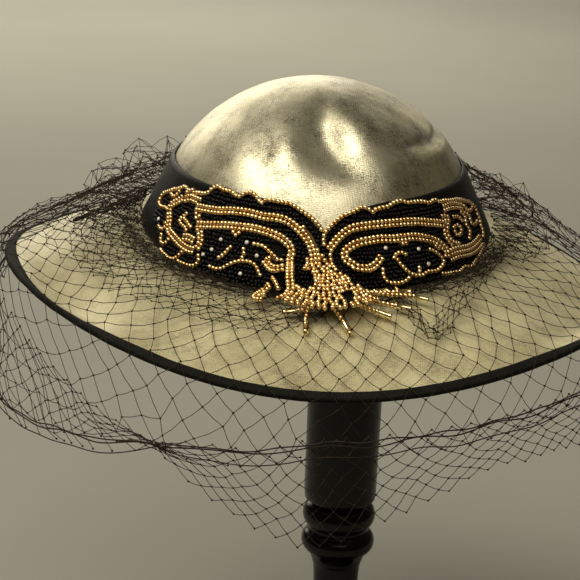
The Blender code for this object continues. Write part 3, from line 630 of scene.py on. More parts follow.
# %% Rows of gold beads as drawn
MM_PER_DEGREE = 1.55      # length of one degree round the wall
ROW_PITCH = 2.0           # millimetres between rows that lie side by side
GOLD_ROWS = (             # how many beads wide, then points of angle and height
    # left wing: the scalloped upper edge
    (1, ((1.2, 23), (0, 25.2), (-1.2, 26.6), (-3.2, 28.6), (-5.6, 30.2), (-7.7, 31.8), (-10.2, 33),
         (-13.6, 33.3), (-17, 33.6), (-19, 33), (-20.2, 31.6), (-21.2, 32.9), (-22.6, 34.3), (-24.2, 35.3),
         (-25.6, 35.2), (-27.2, 34.2), (-28.6, 32.8), (-30.2, 32.9), (-32.2, 34), (-34.4, 34), (-36.6, 34),
         (-38.2, 34.8), (-40, 33.8), (-41.2, 32.2), (-42, 30.8), (-43.6, 30), (-46.6, 29.4),
         (-48.6, 28.8))),
    # upper and lower pairs of rows, and the columns they run down into
    (2, ((-44.5, 23.6), (-40, 24.2), (-35, 25), (-30, 26.3), (-24, 26.9), (-18, 26.4), (-14, 26.6),
         (-10, 25.6), (-6.2, 22.6), (-3.8, 19.6), (-2.2, 16.6), (-1.2, 13), (-0.6, 8.5))),
    (1, ((-4.6, 23.6), (-2.6, 20.8), (-0.6, 16.6), (0.6, 12.6), (1.0, 8.6))),
    (2, ((-41.6, 16.6), (-38, 17.7), (-34, 18.9), (-30, 19.9), (-25, 20.6), (-20, 20.8), (-15, 19.9),
         (-11.4, 18.3), (-8.8, 16), (-7.6, 13), (-7.9, 9.6), (-7.4, 6), (-7.1, 2.8), (-6.6, -0.6),
         (-6.2, -3.6))),
    (1, ((-27.6, 17.6), (-26.4, 16.6), (-25.6, 17.8))),
    (1, ((-19.8, 14.5), (-17.6, 14.4), (-16.1, 13.7), (-14.6, 12.4), (-13.1, 11), (-11.7, 9.2))),
    (1, ((-27.2, 11.3), (-28.2, 9.7), (-28.9, 7.8), (-30.3, 6))),
    (1, ((-22.9, 11.6), (-22.4, 10), (-22.7, 8))),
    (1, ((-32.5, 1.4), (-30, 1.2), (-28.1, 2.2), (-26.1, 4.5), (-24.1, 6), (-22.1, 6.7), (-20.1, 6.8),
         (-18.2, 5.8), (-17.1, 3.8), (-16.2, 2))),
    (2, ((-15.4, 8.2), (-13.7, 6.0), (-11.6, 4.8), (-9.6, 5.6))),
    (1, ((-15.5, 9.8), (-13, 9.4), (-10.4, 9.0))),
    (1, ((-11.6, 0.6), (-10.2, -1.8), (-9.4, -3.8))),
    (2, ((-12.4, -2.6), (-14, -5.0), (-14.8, -7.2), (-12.8, -7.8))),
    # left end scroll: outer petals, the thick ring, its curl and the lower petals
    (1, ((-49.6, 29.6), (-51.4, 28.7), (-53.2, 29.3), (-54.8, 29.3), (-56.2, 28.2), (-58.2, 26.9),
         (-60.2, 26), (-62.2, 24.4), (-64.2, 23.1), (-65.6, 21.9), (-66.4, 20.2), (-66.5, 18.4),
         (-65.4, 16.8), (-62.8, 16.7), (-60.6, 17.3), (-58.6, 17.2))),
    (1, ((-56.2, 26.4), (-57.6, 23.8), (-59.6, 23.4), (-61.2, 24.6))),
    (3, ((-44.2, 27.2), (-46.6, 27.2), (-49.2, 27.2), (-51.6, 25.8))),
    (2, ((-53.2, 24.4), (-55, 22.2), (-57.2, 20.2), (-57.6, 18), (-56.6, 15.8), (-55.2, 13.6),
         (-54.4, 11.2), (-53, 9.4), (-50.6, 8.4), (-48.2, 7.4), (-45.2, 6.2), (-42.4, 5.6), (-40.2, 5.8))),
    (1, ((-59.4, 8.8), (-57.6, 8.4), (-56, 9.6), (-56.6, 11.6))),
    (2, ((-43.4, 21.4), (-42.2, 18.5), (-40.8, 15.6), (-39.3, 13), (-38.4, 10), (-38.8, 7.4))),
    (2, ((-45.6, 9.6), (-43.6, 10.2), (-41.4, 9.8))),
    (1, ((-48.1, 19.4), (-49, 17.8), (-50.2, 15.8), (-48.8, 14.4), (-46.8, 13.8), (-45.6, 12.8))),
    (1, ((-48.4, 17), (-46.9, 16.4), (-45.4, 15.4), (-44.2, 14.8))),
    (1, ((-56.2, 6.4), (-55.6, 4.6), (-54.2, 3.2), (-52.6, 4.2), (-51.8, 6))),
    (1, ((-53.4, 0.6), (-51.6, -0.2), (-50, -0.7), (-48, -1.0), (-46.2, -0.4), (-45.2, 1.4), (-44.2, 3.4))),
    (1, ((-44.6, -0.8), (-42.2, -1.0), (-39.6, -0.8), (-37.8, 0.2), (-36.9, 2.2), (-37.6, 4.4))),
    # right wing: the scalloped upper edge
    (1, ((2.2, 16.8), (2.0, 20), (2.8, 22.2), (4, 24.2), (6, 26.6), (8, 28.6), (10, 29.8), (12.4, 30.8),
         (14.6, 32.2), (16.4, 32.2), (18, 31), (19, 30.2), (20.2, 31.2), (22, 31.6), (24, 31.8),
         (25.6, 32.3), (27.4, 33.3), (30.4, 33.6), (32.6, 32.4), (35, 32.3), (39.2, 31.8), (41, 30.8),
         (43, 30.6), (45, 31.2), (47.2, 29.8), (50, 29.6), (53, 28.8), (57, 28.1), (59.4, 27.2), (61.6, 26),
         (64.6, 24.4), (67, 22.4), (68.4, 19.8), (68.2, 17.2), (68.6, 14.6), (67.6, 12.2), (67.8, 9.8),
         (66.4, 7.6))),
    (2, ((4.0, 15), (5.8, 18.3), (7.5, 20.6), (9.5, 22.6), (12, 23.9), (15.5, 24.5), (19, 24.8), (23, 24.9),
         (27, 24.8), (33, 24.3), (38, 23.1), (43, 21.5), (46, 20.3))),
    (1, ((4.4, 14.4), (4.2, 11.6), (4.8, 8.6), (5.6, 6))),
    (2, ((11, 8.4), (8.9, 10.6), (8.6, 13.6), (10.5, 16), (13.5, 17.6), (17, 18.4), (20.5, 18.8),
         (25, 18.3), (28, 18.2), (32, 18), (35.5, 17), (39, 15.4), (41.5, 13.6), (43, 11.4), (44.2, 9.2),
         (44, 6.8))),
    (1, ((37.2, 15), (39.4, 13.2), (41.2, 11))),
    (2, ((11, 7.6), (13.4, 6.6), (16, 6.8), (18.4, 8.6), (19.9, 11))),
    (1, ((28.4, 11.2), (27, 12.1), (25.4, 12), (24.3, 10.4))),
    (1, ((25.4, 9.4), (26, 7.8), (27, 6), (28.5, 3.6), (30.5, 2), (33, 1.5), (35.3, 2.5), (38, 2),
         (40.5, 3.1), (42, 5), (41.2, 7.6), (39.2, 10.2), (37.6, 11.4))),
    (1, ((32.3, 4.8), (32.2, 3.2))),
    (1, ((20.2, 6), (20.2, 3.2), (21.2, 0.8), (23, 0), (26, -0.2), (28.2, 1.2))),
    (1, ((23.4, -1), (23.8, -3), (23.6, -4.6))),
    (1, ((30.4, 16.2), (28.6, 15.6), (26.8, 16.2))),
    (1, ((40.4, 0.2), (43, -0.4), (45.5, -0.8), (48, -1.0), (50.5, 0), (53, -0.9), (56, 0.2), (59.4, 1.6),
         (62.4, 3.2), (64.6, 4.4))),
    (3, ((45.2, 6.6), (48.4, 7), (52, 6.4), (56, 5.8), (60, 6.2), (63.6, 7))),
    (2, ((48.6, 26.6), (51.6, 26.7), (55, 26), (58.6, 24.4))),
    (1, ((60.4, 24), (61.8, 21.6), (64, 20.8), (66, 21.4))),
    (1, ((59.4, 21.2), (61.6, 19), (61.2, 16), (63.4, 14.4), (66, 15))),
    (1, ((57.2, 22.2), (58.6, 19.4), (58, 16.2), (58.8, 13.2), (57.2, 10.4))),
    (2, ((46.4, 22.6), (48.6, 22), (47, 18.8), (46.2, 16), (46.8, 13), (48.4, 10.6), (50.6, 9.4))),
    (1, ((50.6, 17.4), (52.8, 17.8), (54.2, 15.8), (53, 13.8), (51, 13.9), (50.6, 15.6))),
    (1, ((52, 21.8), (54.6, 21), (56, 18.8))),
)
print("rows drawn:", len(GOLD_ROWS))

# %% String the rows
def row_lines(width, points):
    """The flat curve of a row, set off sideways into as many lines as the row is beads wide."""
    run = smooth_run(points)
    step = np.gradient(run * (MM_PER_DEGREE, 1.0), axis=0)
    across = unit(np.stack([-step[:, 1], step[:, 0]], 1)) / (MM_PER_DEGREE, 1.0)
    offsets = (np.arange(width) - (width - 1) / 2) * ROW_PITCH
    return [run + across * off for off in offsets]


lines = [line for width, points in GOLD_ROWS for line in row_lines(width, points)]
strung = [evenly(ornament_point(line[:, 0], line[:, 1], 0.0010), BEAD_PITCH) for line in lines]
gold_at, gold_along = spaced(*(np.concatenate(part) for part in zip(*strung)))
print("gold beads in rows:", len(gold_at))

# %% [markdown]
# At the centre front the beads pile up into a boss that spreads onto the brim, and strings of beads
# hang from it, each ended by a glass tube. The boss could be a lump with a bead texture, but its edge
# would give it away, so it is packed with real beads, row on row, like the stitched one.

# %% Boss
BEAD_STRANDS = (          # angle and reach in mm where the string leaves, and at both ends of its tube; lift
    (11.0, 10.5, 25.2, 15.8, 29.2, 20.0, 5.0), (9.5, 14.4, 19.5, 19.5, 23.6, 23.0, 4.4),
    (7.5, 17.0, 14.3, 21.6, 18.0, 26.0, 4.2), (11.0, 8.5, 15.0, 11.6, 20.6, 10.8, 6.6),
    (3.8, 19.0, 6.6, 26.6, 7.8, 34.0, 3.0), (-1.4, 18.0, -2.0, 26.0, -1.8, 34.0, 3.0),
    (-1.5, 17.0, -3.0, 21.6, -7.6, 23.8, 4.4), (13.0, 12.0, 21.0, 13.4, 26.4, 14.2, 6.4),
)
HOLES = (                 # angle, height, half width and half height where the ground shows between beads
    (-2.9, 1.4, 2.1, 3.0), (10.8, 2.4, 1.7, 1.8), (1.6, 9.0, 1.0, 1.8), (8.2, -6.6, 1.4, 1.2))
HOLE_WIDE, HOLE_TALL = 0.00176, 0.00095     # metres for one unit of a hole's half sizes
LEAVE_LIFT = 7.0          # a string leaves the boss this many mm up


def on_brim(degrees, out, lift):
    """A point over the brim, out from the band's foot by so many metres."""
    return brim_point(np.radians(degrees), out / BRIM_LENGTH, lift)


rng = np.random.default_rng(7)
boss = []
for k in np.arange(-7, 8.6):
    flow = smooth_run([(0.7 + 0.42 * k, 12.0), (1.3 + 0.66 * k, 5.0), (2.0 + 1.08 * k, -1.5),
                       (2.2 + 1.42 * k, -7.0), (2.4 + 1.58 * k, -11.2 + 0.060 * k * k)])
    flow[:, 0] += 0.22 * np.sin(flow[:, 1] * 1.3 + 2.1 * k)
    lift = 0.0011 + 0.0004 * math.sin(2.4 * k)
    boss.append(evenly(ornament_point(flow[:, 0], flow[:, 1], lift), BEAD_PITCH))
boss_at, boss_along = (np.concatenate(part) for part in zip(*boss))
boss_at = boss_at + rng.normal(0, 0.00013, boss_at.shape)
for middle, high, wide, tall in HOLES:
    apart = boss_at - ornament_point(np.array([middle]), np.array([high]), 0.001)[0]
    outside = np.hypot(apart[:, 0] / (wide * HOLE_WIDE), apart[:, 2] / (tall * HOLE_TALL)) >= 1
    boss_at, boss_along = boss_at[outside], boss_along[outside]
boss_at, boss_along = spaced(boss_at, boss_along)
clear = np.linalg.norm(boss_at[:, None] - gold_at[None], axis=2).min(1) > 0.00145
boss_at, boss_along = boss_at[clear], boss_along[clear]
print("beads in the boss:", len(boss_at))

# %% Strings and their tubes
strands, tube_at, tube_along = [(boss_at, boss_along)], [], []
for leave, leave_out, near, near_out, far, far_out, lift in BEAD_STRANDS:
    t = np.linspace(0, 1, 12)
    run = on_brim(leave + (near - leave) * t, (leave_out + (near_out - leave_out) * t) / 1000,
                  (LEAVE_LIFT + (lift - LEAVE_LIFT) * t) / 1000)
    strands.append(evenly(run, BEAD_PITCH))
    tip = on_brim(np.array([far]), np.array([far_out / 1000]), lift / 1000 - 0.0008)[0]
    way = unit(tip - run[-1])
    tube_at.append(run[-1] + way * 0.0048)
    tube_along.append(way)
tube_at, tube_along = np.array(tube_at), np.array(tube_along)
loose_at, loose_along = (np.concatenate(part) for part in zip(*strands))
print("beads in the boss and on strings:", len(loose_at))

# %% [markdown]
# The beads can now be set. Each one lies along its thread and shows its round side outwards. Between
# them a stitched row shows the waxed silk it is sewn with, so a flat thread of silk runs beneath every
# row, and a dark pad fills the ground under the boss. Without both, light would show through the gaps.

# %% Gold beads of the rows
UP = np.array([0.0, 0.0, 1.0])
BEAD_LENGTH = 0.00208


def facing_out(places):
    """The direction away from the hat's upright axis, tipped up."""
    return unit(from_axis(places) + 0.5 * UP)


rows_made = copies(ROUND_BEAD, gold_at, gold_along, facing_out(gold_at),
                   BEAD_LENGTH, 0.00116, "ornament_gold_beads", GILT)
finish_piece(rows_made, "gold_beads", "beaded_ornament")

# %% Silk beneath the rows
runs = [places for places, _ in strung if len(places) > 2]
size = np.array([len(r) for r in runs])
points = np.concatenate(runs)
ways = np.concatenate([unit(np.gradient(r, axis=0)) for r in runs])
outwards = facing_out(points)
side = unit(np.cross(ways, outwards))
a = np.arange(6) * np.pi / 3
ring = (points - outwards * 0.0006)[:, None] + 0.00088 * (
    side[:, None] * np.cos(a)[:, None] + outwards[:, None] * 0.6 * np.sin(a)[:, None])
first = np.cumsum(size) - size
joined = np.setdiff1d(np.arange(len(points) - 1), first[1:] - 1)[:, None, None]
quad = grid_faces(2, 6)[None] + joined * 6
disc = np.array([[0, 1, 2], [0, 2, 3], [0, 3, 4], [0, 4, 5]])
caps = np.concatenate([(disc[None, :, ::-1] + first[:, None, None] * 6).reshape(-1, 3),
                       (disc[None] + (first + size - 1)[:, None, None] * 6).reshape(-1, 3)])
silk = as_mesh("ornament_silk_rows", ring.reshape(-1, 3), [quad.reshape(-1, 4), caps], SILK)
finish_piece(silk, "gold_beads", "beaded_ornament")

# %% Pad beneath the boss
around = np.linspace(0, 2 * np.pi, 40, endpoint=False)
shares = np.sqrt(np.linspace(0.02, 1, 9))[:, None]
over, under = (ornament_point(4.2 + (6.4 - 1.0 * np.sin(around)) * np.cos(around) * shares,
                              -2.8 + 8.0 * np.sin(around) * shares, lift * np.sqrt(1.02 - shares ** 2))
               for lift in (-0.0008, -0.0022))
shell = np.concatenate([under, over[::-1]])
ends = [shell[0].mean(0), shell[-1].mean(0)]
pad = as_mesh("tassel_silk_pad", np.concatenate([shell.reshape(-1, 3), ends]),
              [grid_faces(len(shell), 40)[:, ::-1], end_fans(len(shell), 40)[:, ::-1]], BACKING)
finish_piece(pad, "gold_beads", "bead_tassel")

# %% Beads and tubes of the boss and its strings
TUBE = bead_form(12, [(-0.46, 0.50), (-0.5, 0.70), (-0.49, 1.0), (-0.40, 1.02), (-0.36, 0.90), (0.36, 0.90),
                      (0.40, 1.02), (0.49, 1.0), (0.5, 0.70), (0.46, 0.50)])
cluster = copies(ROUND_BEAD, loose_at, loose_along, facing_out(loose_at),
                 BEAD_LENGTH, 0.00118, "tassel_beads", GILT)
finish_piece(cluster, "gold_beads", "bead_tassel")
tubes = copies(TUBE, tube_at, tube_along, facing_out(tube_at), 0.0076, 0.00138, "tassel_tubes", BRASS)
finish_piece(tubes, "gold_beads", "bead_tassel")

# %% [markdown]
# Under the gold lies the black ground: a thin cloth backing cut to the ornament's outline, closely
# covered with jet beads. A grid of places is jittered, cut to the outline and thinned wherever a gold
# bead already sits, which is how a stitcher fills a ground.

# %% Backing
OUTLINE = np.array((      # angle, low and high in millimetres
    (-67.5, 14.0, 20.0), (-64.0, 8.0, 24.5), (-60.0, 6.5, 26.8), (-55.0, 2.0, 29.6), (-51.0, -1.2, 29.2),
    (-46.0, -1.6, 30.2), (-42.0, -1.4, 31.4), (-39.0, -1.2, 34.4), (-35.0, -1.8, 34.9), (-28.5, -2.6, 33.0),
    (-24.5, -3.6, 35.0), (-19.5, -3.8, 31.4), (-16.0, -3.8, 33.0), (-11.0, -4.0, 32.4), (-6.0, -4.0, 29.6),
    (-2.0, -4.0, 25.0), (1.0, -4.0, 21.0), (4.0, -4.0, 23.2), (9.0, -4.0, 28.4), (13.0, -4.0, 30.8),
    (18.0, -3.8, 30.6), (26.0, -3.0, 32.2), (33.0, -2.2, 32.0), (44.0, -1.4, 30.4), (52.0, -1.0, 28.8),
    (60.0, 1.0, 26.6), (66.0, 6.0, 23.4), (69.0, 12.0, 18.5)))
fine = np.linspace(-67.5, 69.0, 150)
low = np.maximum(np.interp(fine, OUTLINE[:, 0], OUTLINE[:, 1]), 1000 * head_line(np.radians(fine)) + 1.6)
high = np.interp(fine, OUTLINE[:, 0], OUTLINE[:, 2])
level = (low + (high - low) * np.linspace(0, 1, 10)[:, None]) / 1000
CLOTH_FACES = 0.0038, 0.0024          # how far the backing's front and back stand out from the wall
front, back = (wall_point(np.radians(fine)[None], level, outward) for outward in CLOTH_FACES)
shell = np.concatenate([front, back[::-1]])
n = len(fine)
step = np.arange(9)
side = np.stack([step, step + 1, 18 - step, 19 - step], 1) * n
sheet_uv = np.stack([np.radians(fine)[None] * 0.09 + 0 * shell[..., 0], shell[..., 2]], -1)
faces = np.concatenate([grid_faces(20, n, around=False, loop=True), side, (side + n - 1)[:, ::-1]])
plate = as_mesh("ornament_backing", shell.reshape(-1, 3), faces, BACKING, uv=sheet_uv.reshape(-1, 2))
finish_piece(plate, "black_satin", "beaded_ornament")

# %% Black beads and single pale ones
SEED_PITCH = 1.12, 1.72               # degrees round the wall and millimetres up
BLACK_OUT, BLACK_ROOM = 0.0044, 0.00165     # how far out they sit, and how near to a gold bead
angle, height = np.meshgrid(np.arange(-67, 68.5, SEED_PITCH[0]), np.arange(-4.0, 35.0, SEED_PITCH[1]))
angle = angle + SEED_PITCH[0] / 2 * (np.arange(angle.shape[0]) % 2)[:, None]
seeds = np.stack([angle.ravel(), height.ravel()], 1) + rng.normal(0, 0.17, (angle.size, 2))
above = seeds[:, 1] > np.interp(seeds[:, 0], fine, low) + 0.4
below = seeds[:, 1] < np.interp(seeds[:, 0], fine, high) - 0.9
bare = np.hypot((seeds[:, 0] + 12) / 2.6, (seeds[:, 1] - 13.6) / 2.3) < 1      # a patch of bare cloth
seeds = seeds[above & below & ~bare]
black_at = wall_point(np.radians(seeds[:, 0]), seeds[:, 1] / 1000, BLACK_OUT)
gold = np.concatenate([gold_at, boss_at])
black_at = black_at[np.linalg.norm(black_at[:, None] - gold[None], axis=2).min(1) > BLACK_ROOM]
jet = copies(SMALL_BEAD, black_at, unit(rng.normal(0, 1, black_at.shape)), facing_out(black_at),
             0.0017, 0.00086, "ornament_black_beads", JET)
finish_piece(jet, "black_beading", "beaded_ornament")
STONES = np.array((       # angle and height of the single pale beads
    (-31.2, 13.5), (-22.2, 14.6), (-18.2, 9.8), (-33.4, 8.5), (-22.2, 1.3), (-35.9, 5.5), (-61.2, 11.5),
    (21.8, 14.8), (33.3, 12.5), (35.8, 5.6)))
stone_at = ornament_point(STONES[:, 0], STONES[:, 1], 0.0014)
pale = copies(SMALL_BEAD, stone_at, facing_out(stone_at), np.array([[1.0, 0, 0]] * len(stone_at)),
              0.0011, 0.0011, "ornament_pale_beads", PEARL)
finish_piece(pale, "black_beading", "beaded_ornament")

# %% [markdown]
# The veil is millinery net: one knotted thread that makes diamonds about 11 mm a side. A picture of a
# net on a transparent sheet would fail from the side, so each thread is a thin tube and each crossing
# a small knot. A second function lays the flat net on the hat: from the band it runs out over the brim
# and falls past the rim to its hem, and a point is found by its angle and its distance down the cloth.

# %% What the net does at each angle
VEIL_FORM = np.array((    # angle, lift at band and rim, share past the rim, hem height in millimetres
    (-180, 20, 13, 0.30, -34), (-140, 24, 14, 0.30, -36), (-110, 14, 8, 0.26, -50),
    (-85, 3.5, 4, 0.16, -72), (-50, 3.0, 3.6, 0.11, -74), (-24, 2.2, 3.0, 0.10, -60),
    (-12, 1.8, 2.6, 0.08, -80), (-2, 1.8, 2.6, 0.08, -97), (14, 1.8, 2.6, 0.08, -82),
    (28, 2.2, 3.0, 0.08, -62), (52, 3.0, 4.0, 0.11, -68), (85, 4.5, 5, 0.18, -66),
    (110, 18, 12, 0.28, -50), (140, 28, 18, 0.32, -36), (180, 20, 13, 0.30, -34)))


def veil_values(degrees):
    """The table's four columns at any angle, eased between its rows."""
    d = (degrees + 180) % 360 - 180
    fine = np.linspace(-180, 180, 721)
    out = []
    for k in range(1, 5):
        column = np.interp(fine, VEIL_FORM[:, 0], VEIL_FORM[:, k])
        ease = np.hanning(21) / np.hanning(21).sum()
        padded = np.concatenate([column[-21:-1], column, column[1:21]])
        out.append(np.interp(d, fine, np.convolve(padded, ease, "same")[20:-20]))
    return out


print("at the front the hem hangs", round(float(veil_values(np.zeros(1))[3][0])), "mm from the head line")

# %% The net as a surface
def veil_curve(degrees, samples=90):
    """Down each angle: knots over the band's foot, the brim, past the rim and at the hem, in one cubic."""
    at_band, at_edge, past, hem = veil_values(degrees)
    phi = np.radians(degrees)
    edge = edge_height(phi)
    turned = upturn(phi)

    def over(share):
        """Lifts blend from the band to the rim, and the net spans the rim's upturn."""
        lift = (at_band + (at_edge - at_band) * share) / 1000
        span = 0.6 * turned * np.exp(-((share - 0.72) / 0.2) ** 2)
        return brim_point(phi, share, lift + span)

    rim = brim_point(phi, 1 + 0 * phi, at_edge / 1000 + 0.0012)
    outer = brim_point(phi, 1 + past * 0.75)
    outer[..., 2] = rim[..., 2] - (0.004 + 0.020 * past)
    low = brim_point(phi, 1.02 + past)
    low[..., 2] = HAT_CENTRE[2] + (edge * 1000 * 0.45 + hem * 0.55) / 1000
    end = brim_point(phi, 1.05 + past)
    end[..., 2] = HAT_CENTRE[2] + hem / 1000
    knots = np.stack([over(0.03), over(0.30), over(0.60), over(0.85), rim, outer, low, end], -2)
    k = np.concatenate([2 * knots[..., :1, :] - knots[..., 1:2, :], knots,
                        2 * knots[..., -1:, :] - knots[..., -2:-1, :]], -2)
    t = np.linspace(0, 7, samples)
    i = np.minimum(t.astype(int), 6)
    f = (t - i)[:, None]
    a, b, c, d = (k[..., i + n, :] for n in range(4))
    run = cubic(a, b, c, d, f)
    along = np.linalg.norm(np.diff(run, axis=-2), axis=-1).cumsum(-1)
    return run, np.concatenate([along[..., :1] * 0, along], -1)


def veil_point(degrees, distance):
    """The point so many metres down the curve at an angle, with the curve's whole length."""
    run, along = veil_curve(degrees)
    want = np.clip(distance, 0, along[..., -1])
    i = np.clip((along < want[..., None]).sum(-1), 1, along.shape[-1] - 1)
    rows = np.arange(len(degrees))
    low, high = along[rows, i - 1], along[rows, i]
    f = ((want - low) / np.maximum(high - low, 1e-9))[:, None]
    return run[rows, i - 1] * (1 - f) + run[rows, i] * f, along[..., -1]


left_front = veil_curve(np.array([-50.0]))[1][0, -1]
print("the veil's cloth is", round(float(left_front), 3), "m long at the left front")

# %% [markdown]
# One function makes threads and knots from any points and pairs of points. A thread has three sides
# and a knot eight faces, which is enough for something a third of a millimetre thick seen from a
# metre away, and keeps thousands of threads light.

# %% Thread and knots as meshes
f = Finish("net_thread_fibre", Roughness=0.75, Specular_IOR_Level=0.12)
THREAD = f.use(Base_Color=f.ramp(f.noise(f.where(), 240, 2.0), (0.3, (0.013, 0.009, 0.0055)),
                                 (0.75, (0.042, 0.031, 0.019))),
               Normal=f.bump(f.noise(f.where(), 3000, 1.0), 0.3, 0.0001))


def thread_net(name, nodes, pairs, radius, knot, sag=0.05):
    """Tubes of three sides between paired nodes, bowed down by a share of their length, and knots."""
    a, b = nodes[pairs[:, 0]], nodes[pairs[:, 1]]
    length = np.linalg.norm(b - a, axis=1, keepdims=True)
    path = np.stack([a, (a + b) / 2 - UP * length * sag, b], 1)
    way = unit(np.gradient(path, axis=1))
    side = unit(np.cross(way, np.array([0.13, 0.29, 0.95])))
    other = np.cross(way, side)
    turn = np.arange(3) * 2 * np.pi / 3
    spoke = side[:, :, None] * np.cos(turn)[:, None] + other[:, :, None] * np.sin(turn)[:, None]
    verts = (path[:, :, None] + radius * spoke).reshape(-1, 3)
    start = (np.arange(len(pairs)) * 9)[:, None, None]
    quads = (grid_faces(3, 3)[None] + start).reshape(-1, 4)
    caps = (np.array([[2, 1, 0], [6, 7, 8]])[None] + start).reshape(-1, 3)
    used = np.unique(pairs)
    blob = np.array([(1, 0, 0), (-1, 0, 0), (0, 1, 0), (0, -1, 0), (0, 0, 1), (0, 0, -1)], float)
    tris = np.array([(0, 2, 4), (2, 1, 4), (1, 3, 4), (3, 0, 4), (2, 0, 5), (1, 2, 5), (3, 1, 5), (0, 3, 5)])
    lumps = nodes[used][:, None] + blob[None] * knot
    tris = (tris[None] + (len(verts) + np.arange(len(used)) * 6)[:, None, None]).reshape(-1, 3)
    made = as_mesh(name, np.concatenate([verts, lumps.reshape(-1, 3)]),
                   [quads, np.concatenate([caps, tris])], THREAD)
    return finish_piece(made, "net_thread", "net_veil")


print("the thread's finish:", THREAD.name)

# %% Which knots a thread joins
def diamond_pairs(rows, columns, closed):
    """Row by row each node joins the two nodes below it; odd rows stand half a column on."""
    i, j = np.meshgrid(np.arange(rows - 1), np.arange(columns), indexing="ij")
    pairs = []
    for other in (j - 1 + i % 2, j + i % 2):
        good = np.ones_like(other, bool) if closed else (other >= 0) & (other < columns)
        pairs.append(np.stack([(i * columns + j)[good], ((i + 1) * columns + other % columns)[good]], 1))
    return np.concatenate(pairs)


print("a small net of 3 rows and 4 columns has", len(diamond_pairs(3, 4, True)), "threads")

# %% [markdown]
# Several cells ask where the hanging net is at a height, and at the left front a stitch draws the net
# together to one point. Both are small functions, so that every layer is drawn in at the same place.

# %% Heights on the net and the gather
def at_height(degrees, level):
    """The point of the hanging net at a height, between the two curve points on either side of it."""
    run, _ = veil_curve(degrees)
    above = run[..., 2] - HAT_CENTRE[2] - level[:, None] / 1000
    index = np.clip((above > 0).sum(-1), 1, run.shape[1] - 1)
    rows = np.arange(len(degrees))
    first, second = above[rows, index - 1], above[rows, index]
    share = np.clip(first / np.maximum(first - second, 1e-9), 0, 1)[:, None]
    return run[rows, index - 1] * (1 - share) + run[rows, index] * share


gather = at_height(np.array([-24.0]), np.array([-56.0]))[0]


def gathered(points, strength=0.72, spread=0.017):
    """Draws points toward the gather, by a share that falls off as a bell curve of their distance."""
    pull = strength * np.exp(-(np.linalg.norm(points - gather, axis=1) / spread) ** 2)
    return points + (gather - points) * pull[:, None]


print("the net is gathered at", gather.round(3))

# %% [markdown]
# The veil itself is laid row by row. Its columns stand wider apart at the sides of the hat, and slow
# waves push the knots about, so that no two cells are alike. A little below the thick selvage thread
# the net is cut.

# %% Veil
COLUMNS = 68
ROW_GAPS = [9.6, 9.6, 9.4, 9.2, 9.0, 8.8, 8.6, 8.2] + [7.7] * 22      # millimetres down the cloth
STEPS = np.concatenate([[0.0], np.cumsum(ROW_GAPS)]) / 1000
HEM_DROP = 6.8            # how far the net goes on below the selvage, in millimetres
SELVAGE = np.array((      # angle and height in millimetres of the thick thread
    (-180, -26), (-140, -28), (-110, -42), (-85, -64), (-50, -67), (-36, -62), (-26, -55), (-18, -53),
    (-8, -54), (0, -47), (20, -44), (50, -41), (70, -42), (85, -44), (110, -41), (140, -28), (180, -26)))


def tighter(degrees, left, right):
    """One, less a bell curve of the angle at each side of the hat."""
    return 1 - left * np.exp(-((degrees + 76) / 34) ** 2) - right * np.exp(-((degrees - 84) / 30) ** 2)


row, column = np.meshgrid(np.arange(len(STEPS)), np.arange(COLUMNS), indexing="ij")
fine = np.linspace(-180, 180, 721)
crowd = tighter(fine, 0.42, 0.22)
crowd = np.concatenate([[0], np.cumsum((crowd[1:] + crowd[:-1]) / 2)])
order = (column + 0.5 * (row % 2)) / COLUMNS
turn = np.interp(order % 1, crowd / crowd[-1], fine) + 360 * np.floor(order)
near, wide = np.radians(turn), np.minimum(1, row / 3)
turn = turn + wide * (1.15 * soft_noise(near * 5, row * 0.5, 1) + 0.85 * soft_noise(near * 17, row * 1.3, 12))
away = (STEPS[row] * tighter(turn, 0.38, 0.22) + 0.0016 * soft_noise(near * 7, row * 0.6, 5) * wide
        + 0.0012 * soft_noise(near * 23, row * 1.1, 15) * wide)
turn, away = turn.ravel(), away.ravel()
nodes, whole = veil_point(turn, away)
over_rim = np.clip((away - 0.074) / 0.03, 0, 1)
sway = 0.0040 * soft_noise(np.radians(turn) * 6, away * 30, 8) * over_rim
puff = np.clip((np.abs(turn) - 75) / 30, 0, 1) * (1 - over_rim) * np.minimum(1, away / 0.02)
lifted = 0.0042 * soft_noise(np.radians(turn) * 11, away * 70, 21) * puff
nodes = gathered(nodes + from_axis(nodes) * sway[:, None] + UP * lifted[:, None])
pairs = diamond_pairs(len(STEPS), COLUMNS, True)
pairs = pairs[(away[pairs] < whole[pairs]).any(1)]
cut = np.interp((turn + 180) % 360 - 180, SELVAGE[:, 0], SELVAGE[:, 1] - HEM_DROP) / 1000
high = nodes[:, 2] - HAT_CENTRE[2]
pairs = pairs[(high[pairs] > cut[pairs]).any(1)]
low = (high < cut) & np.isin(np.arange(len(nodes)), pairs)
nodes[low, 2] = HAT_CENTRE[2] + cut[low]
thread_net("net_veil_threads", nodes, pairs, 0.00018, 0.00064)
print("the veil has", len(pairs), "threads")

# %% [markdown]
# Two thick threads run through the net near its edge, and a thinner one binds the edge itself. They
# follow the same curve as the net, so they meet its knots and are drawn in at the same gather.

